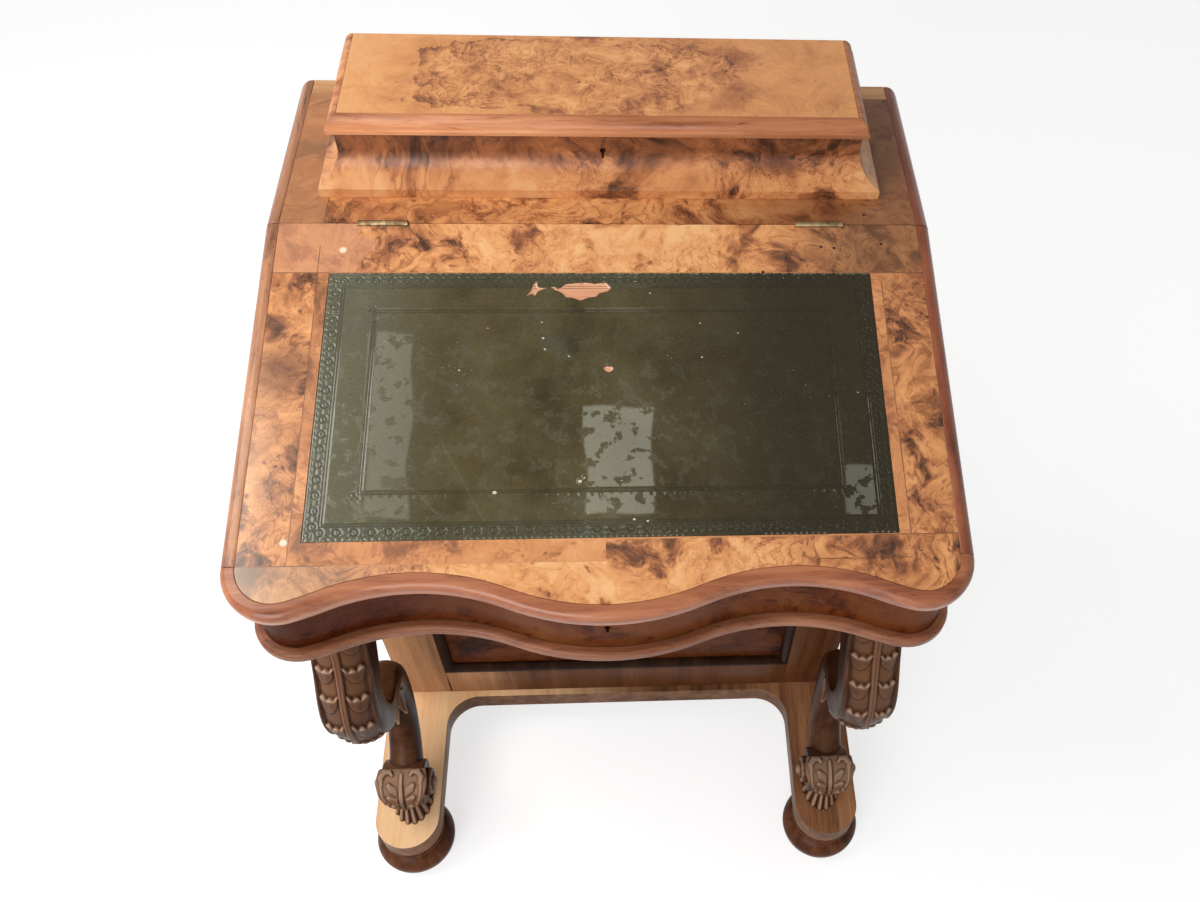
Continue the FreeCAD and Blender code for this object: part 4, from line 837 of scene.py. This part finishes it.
def make_leather():
    """The writing surface, tooled, scuffed and torn, with a skirt and a flat underside that close it."""
    x, y = np.meshgrid(steps(-SHEET_HALF, SHEET_HALF, -TOOL_HALF, TOOL_HALF),
                       steps(0, SHEET_LENGTH, TOOL_TOP, TOOL_LOW))
    edge_x, edge_y = SHEET_HALF - np.abs(x), np.minimum(y, SHEET_LENGTH - y)
    edge = np.minimum(edge_x, edge_y)
    run = np.where(edge_x < edge_y, y, x)
    marks = {
        "press": greatest(border_tooling(edge, run) + frame_tooling(x, y)),
        "scuff": greatest(scuffs(x, y)),
        "fleck": greatest(within(size - np.hypot(x - at_x, (y - at_y) * 1.3)) for at_x, at_y, size in FLECKS),
        "bare": greatest(within(depth_inside(x, y, outline)) for outline in TEARS),
    }
    swell = 0.05 * np.sin(x / 31 + 1) * np.sin(y / 23) + 0.01 * np.sin(x / 9 + y / 13)
    sunk = 0.42 * marks["press"] + 0.2 * (marks["fleck"] > 0.5) + 1.15 * ease(marks["bare"], 0.4, 0.6)
    rim = np.clip(edge / 1.2, 0, 1)
    height = (swell - sunk) * rim - 0.5 * (1 - rim) - 0.02
    flat = np.stack([x.ravel(), LEATHER_TOP * MM - SHEET_GAP - y.ravel(), height.ravel()], 1)
    index = np.arange(x.size).reshape(x.shape)
    faces = np.stack([index[:-1, :-1], index[1:, :-1], index[1:, 1:], index[:-1, 1:]], -1).reshape(-1, 4)
    loop = np.concatenate([index[0, :-1], index[:-1, -1], index[-1, :0:-1], index[:0:-1, 0]])
    base = x.size + np.arange(len(loop))
    skirt = np.stack([loop, np.roll(loop, -1), np.roll(base, -1), base], 1)
    under = flat[loop] * (1, 1, 0) + (0, 0, SHEET_UNDER)
    places = set_in_lid(np.concatenate([flat, under]))
    faces = [*faces.tolist(), *skirt.tolist(), base[::-1].tolist()]
    sheet = new_piece("tooled_leather", places.tolist(), faces, leather_finish())
    for name, values in marks.items():
        keep(sheet.data, name, np.concatenate([values.ravel(), np.zeros(len(loop))]))
    for face in sheet.data.polygons:
        face.use_smooth = True
    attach(sheet, "writing_lid")
    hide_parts("lid_leather")


make_leather()


# Carved scroll brackets, in millimetres from the middle plane: t runs down the scroll and w across it

BRACKET_LOW, BRACKET_HIGH = (np.array(corner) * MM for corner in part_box("scroll_bracket_right"))
BRACKET_X = (BRACKET_LOW[0] + BRACKET_HIGH[0]) / 2
PLATFORM_TOP, DESK_FLOOR = BRACKET_LOW[2], BRACKET_HIGH[2]
ARM_REACH = 157
ARM_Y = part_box("pedestal_front_frame")[0][1] * MM - ARM_REACH
KNEE_LEAN = 7
KNEE_END, LEG_START, LEG_END = 250, 290, 445
HUSK_START, HUSK_END = 326, 412
FIRST_TIER, TIER, TIERS = 14, 36, 6
LEAF_HALF, LEAF_GROUND = 25.6, 3.4
LEAF_ENDS = ((34, 8), (10, 0))
TOE_Y, TOE_Z = ARM_Y + 23, PLATFORM_TOP + 52
TOE_SLANT = 0.3
TOE_CORE, TOE_SKIN = 24.0, 28.2
TURN = np.linspace(0, 2 * math.pi, 72, endpoint=False)


def bracket_stations():
    """Points down the middle of the scroll: y, z, half the depth and half the width."""
    def part_way(first, last, *shares):
        return first + (last - first) * np.array(shares)

    top = np.array((ARM_Y + 36, DESK_FLOOR, 18, 23))
    knee = np.array((ARM_Y - 3, DESK_FLOOR - 182, 13, 27))
    ankle = np.array((ARM_Y + 90, PLATFORM_TOP + 165, 16, 16))
    toe = np.array((TOE_Y, TOE_Z, 18, 20))
    return np.array([
        top,
        part_way(top, knee, 0.22, 0.37, 0.33, 0.33),
        part_way(top, knee, 0.73, 0.72, 0.67, 0.67),
        knee,
        part_way(knee, ankle, 0.17, 0.28, 0.0, 0.0),
        part_way(knee, ankle, 0.55, 0.46, 0.5, 0.33),
        part_way(knee, ankle, 0.87, 0.68, 0.8, 0.75),
        ankle,
        part_way(ankle, toe, 0.13, 0.47, 0.2, 0.0),
        part_way(ankle, toe, 0.55, 0.85, 0.7, 0.5),
        part_way(ankle, toe, 0.94, 1.0, 1.0, 1.0),
    ])


def smooth_line(at, values, first, last, where):
    """A cubic through values, with given slopes at its ends, read at some places with its slope there."""
    gap = np.diff(at)
    count = len(at)
    system, wanted = np.zeros((count, count)), np.zeros(count)
    rise = np.diff(values) / gap
    system[0, :2] = 2 * gap[0], gap[0]
    system[-1, -2:] = gap[-1], 2 * gap[-1]
    wanted[0], wanted[-1] = 6 * (rise[0] - first), 6 * (last - rise[-1])
    for row in range(1, count - 1):
        system[row, row - 1:row + 2] = gap[row - 1], 2 * (gap[row - 1] + gap[row]), gap[row]
        wanted[row] = 6 * (rise[row] - rise[row - 1])
    bend = np.linalg.solve(system, wanted)
    piece = np.clip(np.searchsorted(at, where, "right") - 1, 0, count - 2)
    here, step = where - at[piece], gap[piece]
    slope = rise[piece] - step * (2 * bend[piece] + bend[piece + 1]) / 6
    bent = (bend[piece + 1] - bend[piece]) / step
    return (values[piece] + here * (slope + here * (bend[piece] / 2 + here * bent / 6)),
            slope + here * (bend[piece] + here * bent / 2))


def strokes(t, w, lines, flat=0.55):
    """The greatest height over raised strokes, each given as points of t, w, radius and height."""
    heights = []
    for points in lines:
        for start, end in zip(points, points[1:]):
            away, share = nearest(t, w, start, end)
            radius, top = (start[part] + share * (end[part] - start[part]) for part in (2, 3))
            fall = np.clip((away / radius - flat) / (1 - flat), 0, 1)
            heights.append(top * np.sqrt(1 - fall * fall))
    return greatest(heights)


def pits(t, w, places):
    """Round drilled hollows: the eyes between the lobes of a leaf."""
    return greatest(np.exp(-((t - at) ** 2 + (w - aside) ** 2) / size ** 2) for at, aside, size in places)


def gouges(t, w, lines, half):
    """Cut lines: 1 along each line, 0 beyond its width."""
    return greatest(groove(line_distance(t, w, points), half) for points in lines)


def knee_relief(t, w):
    """The acanthus leaf on the knee: a rib, and tiers of hollow lobes that start in a stem along the rib and
    end in a scalloped lip, with a cut below each and flat ground between them."""
    w = np.abs(w)
    across = np.clip((w - 3.0) / 22.0, 0, 1)
    scallop = np.abs(np.sin(3 * math.pi * across ** 0.85))
    sweep = (1 - across) ** 4
    lobes, cuts = [], []
    for tier in range(TIERS):
        low = FIRST_TIER + TIER * (tier + 1)
        lip = low - 14 - 4 * across - 11 * sweep - 3.2 * scallop * (1 - sweep)
        foot = low + 1 - 20 * sweep - 6 * across ** 6
        share = np.clip((foot - t) / (foot - lip), 0, 1)
        lobe = 1.0 + 2.8 * share ** 1.4 - (1 - scallop) * share
        lobes.append(lobe * ease(t, lip - 0.9, lip + 1.3) * (t < foot))
        cuts.append(groove(np.abs(t - foot - 0.8), 2.4))
    rib = strokes(t, w, [[(0, 0, 4.4, 3.4), (150, 0, 3.6, 3.2), (KNEE_END, 0, 2.2, 2.8)]], 0.3)
    cuts.append(0.6 * groove(np.abs(w - 4.4 + 1.4 * t / KNEE_END), 1.2))
    cut = greatest(cuts) * (rib < 0.5)
    return np.maximum(greatest(lobes) - 1.8 * cut, rib) - 0.5 * groove(w, 0.8)


def husk_relief(t, w):
    """A leaf collar on the leg, with three tips pointing down."""
    side = np.abs(w)
    outer = [(332, 11, 6, 2.6), (352, 8, 6.5, 3.4), (376, 7.5, 4.2, 4.0), (392, 9.5, 1.6, 4.4)]
    middle = [(332, 0, 7, 2.6), (362, 0, 6.0, 3.6), (388, 0, 4.0, 4.2), (408, -0.5, 1.5, 4.6)]
    veins = [[(336, 9), (360, 8), (386, 8.5)], [(336, 0), (372, 0), (400, 0)]]
    leaves = np.maximum(strokes(t, side, [outer]), strokes(t, w, [middle]))
    return leaves - 0.8 * gouges(t, side, veins, 1.2) - 2.0 * pits(t, side, [(370, 4, 1.6)])


def ring(half, depth, bulge, roundness):
    """A section square to the scroll: a full front, flat cheeks and a nearly flat back, rounder for the leg.
    Gives its points, the way out at each, the way round from the front's middle, and the front's mask."""
    front, cheek, back = 84, 18, 24
    share = np.concatenate([np.linspace(-1, 1, front, endpoint=False), np.ones(cheek),
                            np.linspace(1, -1, back, endpoint=False), -np.ones(cheek)])
    fall = depth * (1 - 2 * np.linspace(0, 1, cheek, endpoint=False))
    a = share * half

    def arc(across, high):
        radius = (half ** 2 + high ** 2) / (2 * high)
        return depth + high - radius + np.sqrt(np.maximum(radius ** 2 - across ** 2, 0))

    b = np.concatenate([arc(a[:front], bulge), fall, -arc(a[front + cheek:-cheek], 2.6), -fall])
    norm = np.hypot(a / half, b / np.where(b > 0, depth + bulge * 0.4, depth))
    squeeze = 1 - roundness + roundness / norm
    a, b = a * squeeze, b * squeeze
    for _ in range(3):
        a, b = ((np.roll(line, 1) + 2 * line + np.roll(line, -1)) / 4 for line in (a, b))
    run_a, run_b = (np.roll(line, -1) - np.roll(line, 1) for line in (a, b))
    length = np.hypot(run_a, run_b)
    around = np.cumsum(length / 2)
    around -= around[front // 2]
    return a, b, -run_b / length, run_a / length, around, np.arange(len(a)) < front


def rims(relief):
    """How far each place of a carved grid stands above those round it, less than 0 in hollows."""
    smooth = relief
    for _ in range(12):
        smooth = (smooth + sum(np.roll(smooth, step, axis) for step in (1, -1) for axis in (0, 1))) / 5
    return relief - smooth


def closed_grid(places, shades):
    """Points, faces and shades of a grid of rings, capped at both ends."""
    rows, count = places.shape[:2]
    index = np.arange(rows * count).reshape(rows, count)
    ahead = np.roll(index, -1, 1)
    faces = np.stack([index[:-1], ahead[:-1], ahead[1:], index[1:]], -1).reshape(-1, 4).tolist()
    faces += [index[0][::-1].tolist(), index[-1].tolist()]
    return places.reshape(-1, 3), faces, shades.ravel()


def scroll_mesh():
    """The bracket from the desk to the toe, as rings round a smooth line with the carving cut into them."""
    stations = bracket_stations()
    at = np.concatenate([[0], np.cumsum(np.hypot(*np.diff(stations[:, :2], axis=0).T))])
    spans = ((0, KNEE_END + 8, 1.1), (KNEE_END + 8, HUSK_START, 3.0), (HUSK_START, HUSK_END, 1.2),
             (HUSK_END, at[-1], 3.0))
    rows = np.concatenate([*(np.arange(*span) for span in spans), at[-1:]])
    slant = math.hypot(1, TOE_SLANT)
    y, rise_y = smooth_line(at, stations[:, 0], 0, -1 / slant, rows)
    z, rise_z = smooth_line(at, stations[:, 1], -1, -TOE_SLANT / slant, rows)
    deep, wide = (np.interp(rows, at, stations[:, column]) for column in (2, 3))
    rise_y, rise_z = (rise / np.hypot(rise_y, rise_z) for rise in (rise_y, rise_z))
    places, pushes, fronts = [], [], []
    for row, level in enumerate(rows):
        bulge = 13 * wide[row] / 25 * (1 - 0.5 * ease(level, LEG_START, LEG_END))
        roundness = 0.85 * ease(level, KNEE_END, LEG_START + 40)
        a, b, out_a, out_b, w, is_front = ring(wide[row], deep[row], bulge, roundness)
        t = np.full(len(a), level)
        on_knee, by_knee = (1 - ease(level, KNEE_END - start, KNEE_END - stop) for start, stop in LEAF_ENDS)
        leaf = is_front * on_knee * (1 - ease(np.abs(w), LEAF_HALF - 1, LEAF_HALF))
        margin = is_front * groove(np.abs(np.abs(w) - LEAF_HALF), 1.2) * by_knee
        husk = is_front * husk_relief(t, w)
        push = leaf * (knee_relief(t, w) - LEAF_GROUND) - 1.4 * margin + husk
        a, b = a + out_a * push, b + out_b * push
        x = a - KNEE_LEAN * (1 - ease(level, 70, 210))
        places.append(np.stack([x, y[row] + b * rise_z[row], z[row] - b * rise_y[row]], 1))
        pushes.append(push)
        fronts.append(np.maximum(leaf, husk > 0.5))
    places = np.array(places)
    places[:, :, 2] = np.minimum(places[:, :, 2], DESK_FLOOR)
    # Painted light: paler over the leaf's front, painted highlights on the high places, painted shade in the
    # hollows.
    return closed_grid(places, 0.30 + 0.26 * np.array(fronts) + 0.26 * rims(np.array(pushes)))


def toe_point(x, radius, angle):
    """A place on the roll of the toe: the angle is from straight up, towards the front."""
    return np.stack([x, TOE_Y - radius * np.sin(angle), TOE_Z + radius * np.cos(angle)], -1)


def toe_roll():
    profile = ((-23, 22), (-22.5, 24), (-21.5, 25), (21.5, 25), (22.5, 24), (23, 22))
    places = np.array([toe_point(np.full(len(TURN), x), radius, -TURN) for x, radius in profile])
    return closed_grid(places, np.full(places.shape[:2], 0.35))


def toe_leaf():
    """The leaf folded over the toe: curls at its top corners, a rib, and three tiers of lobes."""
    outline = ((-9, 25.5), (8, 27), (30, 27.5), (55, 25), (80, 20), (100, 14), (112, 10))
    turns, halves = zip(*outline)
    degrees = np.linspace(turns[0], turns[-1], 110)
    share, down = np.meshgrid(np.linspace(-1, 1, 72), degrees)
    x = share * np.interp(down, turns, halves)
    run = np.radians(down - turns[0]) * 29
    w = np.abs(x)
    lines = [
        [(18, 21, 2.2, 1.6), (10, 22, 3.2, 3.0), (4.5, 18, 3.6, 4.0), (4.5, 12.5, 2.6, 3.8),
         (8, 10, 1.6, 3.0)],
        [(18, 22, 1.6, 1.8), (34, 20, 1.6, 1.6), (50, 13, 1.6, 1.8)],
        [(30, 5.0, 4.0, 1.0), (24, 9.5, 5.0, 1.8), (19, 13.0, 2.8, 3.0)],
        [(44, 4.0, 4.0, 1.2), (38, 8.0, 5.0, 2.0), (33, 13.0, 2.8, 3.2)],
        [(58, 3.0, 3.4, 1.6), (52, 7.0, 4.6, 2.4), (47, 10.0, 2.8, 3.4)],
    ]
    relief = strokes(run, w, lines, 0.2)
    relief -= 1.2 * gouges(run, w, [[(34, 5), (30, 10), (26, 16)], [(45, 4), (43, 9), (40, 15)]], 1.4)
    relief -= 1.6 * pits(run, w, [(13.5, 15, 2.0), (27.5, 17, 1.5), (41.5, 16, 1.5), (54, 10, 1.5)])
    rib = strokes(run, w, [[(7, 0, 1.4, 2.8), (30, 0, 2.4, 3.6), (60, 0, 2.0, 3.4)]])
    relief = np.maximum(relief - 1.4 * groove(np.abs(w - 3.2), 1.2), rib) - 0.8 * groove(w, 0.7)
    edge = ease(np.abs(share), 0.94, 1.0)
    angle = np.radians(down)
    top = toe_point(x, TOE_SKIN + relief * (1 - edge) - 0.8 * edge, angle)
    under = toe_point(x, TOE_CORE, angle)
    # Painted highlights on the high places of the leaf, painted shade in its hollows.
    shade = 0.60 + 0.15 * rims(relief) * (1 - edge)
    places = np.concatenate([top, under[:, ::-1]], 1)
    return closed_grid(places[::-1], np.concatenate([shade, np.full(x.shape, 0.3)], 1)[::-1])


def rosette(side):
    """A turned rosette with petals on one end of the toe, from the reach, radius and shade of its rings."""
    # Each ring's shade is painted: dark in the hollow rings, pale on the high ones.
    profile = ((-3.0, 14.0, 0.2), (3.4, 14.0, 0.4), (5.6, 12.6, 0.8), (6.0, 10.8, 0.7), (4.2, 9.2, 0.0),
               (4.0, 7.8, 0.0), (7.2, 6.4, 0.6), (9.6, 4.2, 0.9), (10.6, 1.6, 0.9))
    petals = 1 + 0.12 * np.abs(np.cos(TURN * 4))
    places, shades = [], []
    for out, radius, shade in profile:
        reach = radius * (petals if radius > 9.5 else 1)
        places.append(toe_point(np.full(len(TURN), side * (TOE_CORE + out)), reach, -side * TURN))
        shades.append(np.full(len(TURN), shade))
    return closed_grid(np.array(places), np.array(shades))


def fan():
    """The shell under the toe: hollow flutes between sharp ridges that spread down to the platform."""
    angle = np.linspace(0, 2 * math.pi, 240, endpoint=False)
    flute = 1 - np.abs(np.sin(angle * 8))
    places, shades = [], []
    for step in np.linspace(0, 1, 14):
        radius = 28.0 - 14.0 * step - 3.0 * (1 - 0.6 * step) * flute
        lift = 1.6 * (step > 0) * (1 - step) ** 4 * flute
        places.append(np.stack([0.82 * radius * np.cos(angle), TOE_Y + 1.16 * radius * np.sin(angle),
                                PLATFORM_TOP + step * 36 + lift], 1))
        # Painted shade in the flutes, painted highlights on the ridges.
        shades.append(0.85 - 0.75 * flute)
    return closed_grid(np.array(places), np.array(shades))


def carved_finish():
    """Carved walnut: painted shade in the hollows, and paler on the high places and where it faces up, partly
    rubbed and partly painted highlight.
    """
    graph = Graph("carved_walnut")
    tone = grain_tone(graph.place(), "z")
    # The stored shade and the upward faces paint light and shade into the colour.
    height = graph.stored("height") + graph.upward().range(-0.2, 0.8, -0.10, 0.22)
    base = stained(
        grain_shade(tone, CARVED),
        (height.range(0.44, 0.0, 0, 0.85), (24, 13, 8)),
        (height.range(0.42, 0.68, 0, 0.75), (126, 86, 60)),
        (height.range(0.64, 1.05, 0, 0.75), (182, 158, 138)),
    )
    return polish(graph, base, tone, 0.34, 0.0, 0.06)


def make_brackets():
    """Two carved brackets, the left one the mirror of the right."""
    finish = carved_finish()
    grids = [scroll_mesh(), toe_roll(), toe_leaf(), rosette(-1), rosette(1), fan()]
    for side, word in ((1, "right"), (-1, "left")):
        places, faces = [], []
        for points, sides, _ in grids:
            faces += [[len(places) + corner for corner in face[::side]] for face in sides]
            places += ((points + (BRACKET_X, 0, 0)) * (side, 1, 1) / MM).tolist()
        bracket = new_piece(f"carved_bracket_{word}", places, faces, finish)
        # Each point keeps its painted shade and highlight under the name height.
        keep(bracket.data, "height", np.concatenate([shades for _, _, shades in grids]))
        for face in bracket.data.polygons:
            face.use_smooth = len(face.vertices) == 4
        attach(bracket, "desk")
        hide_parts(f"scroll_bracket_{word}")


make_brackets()
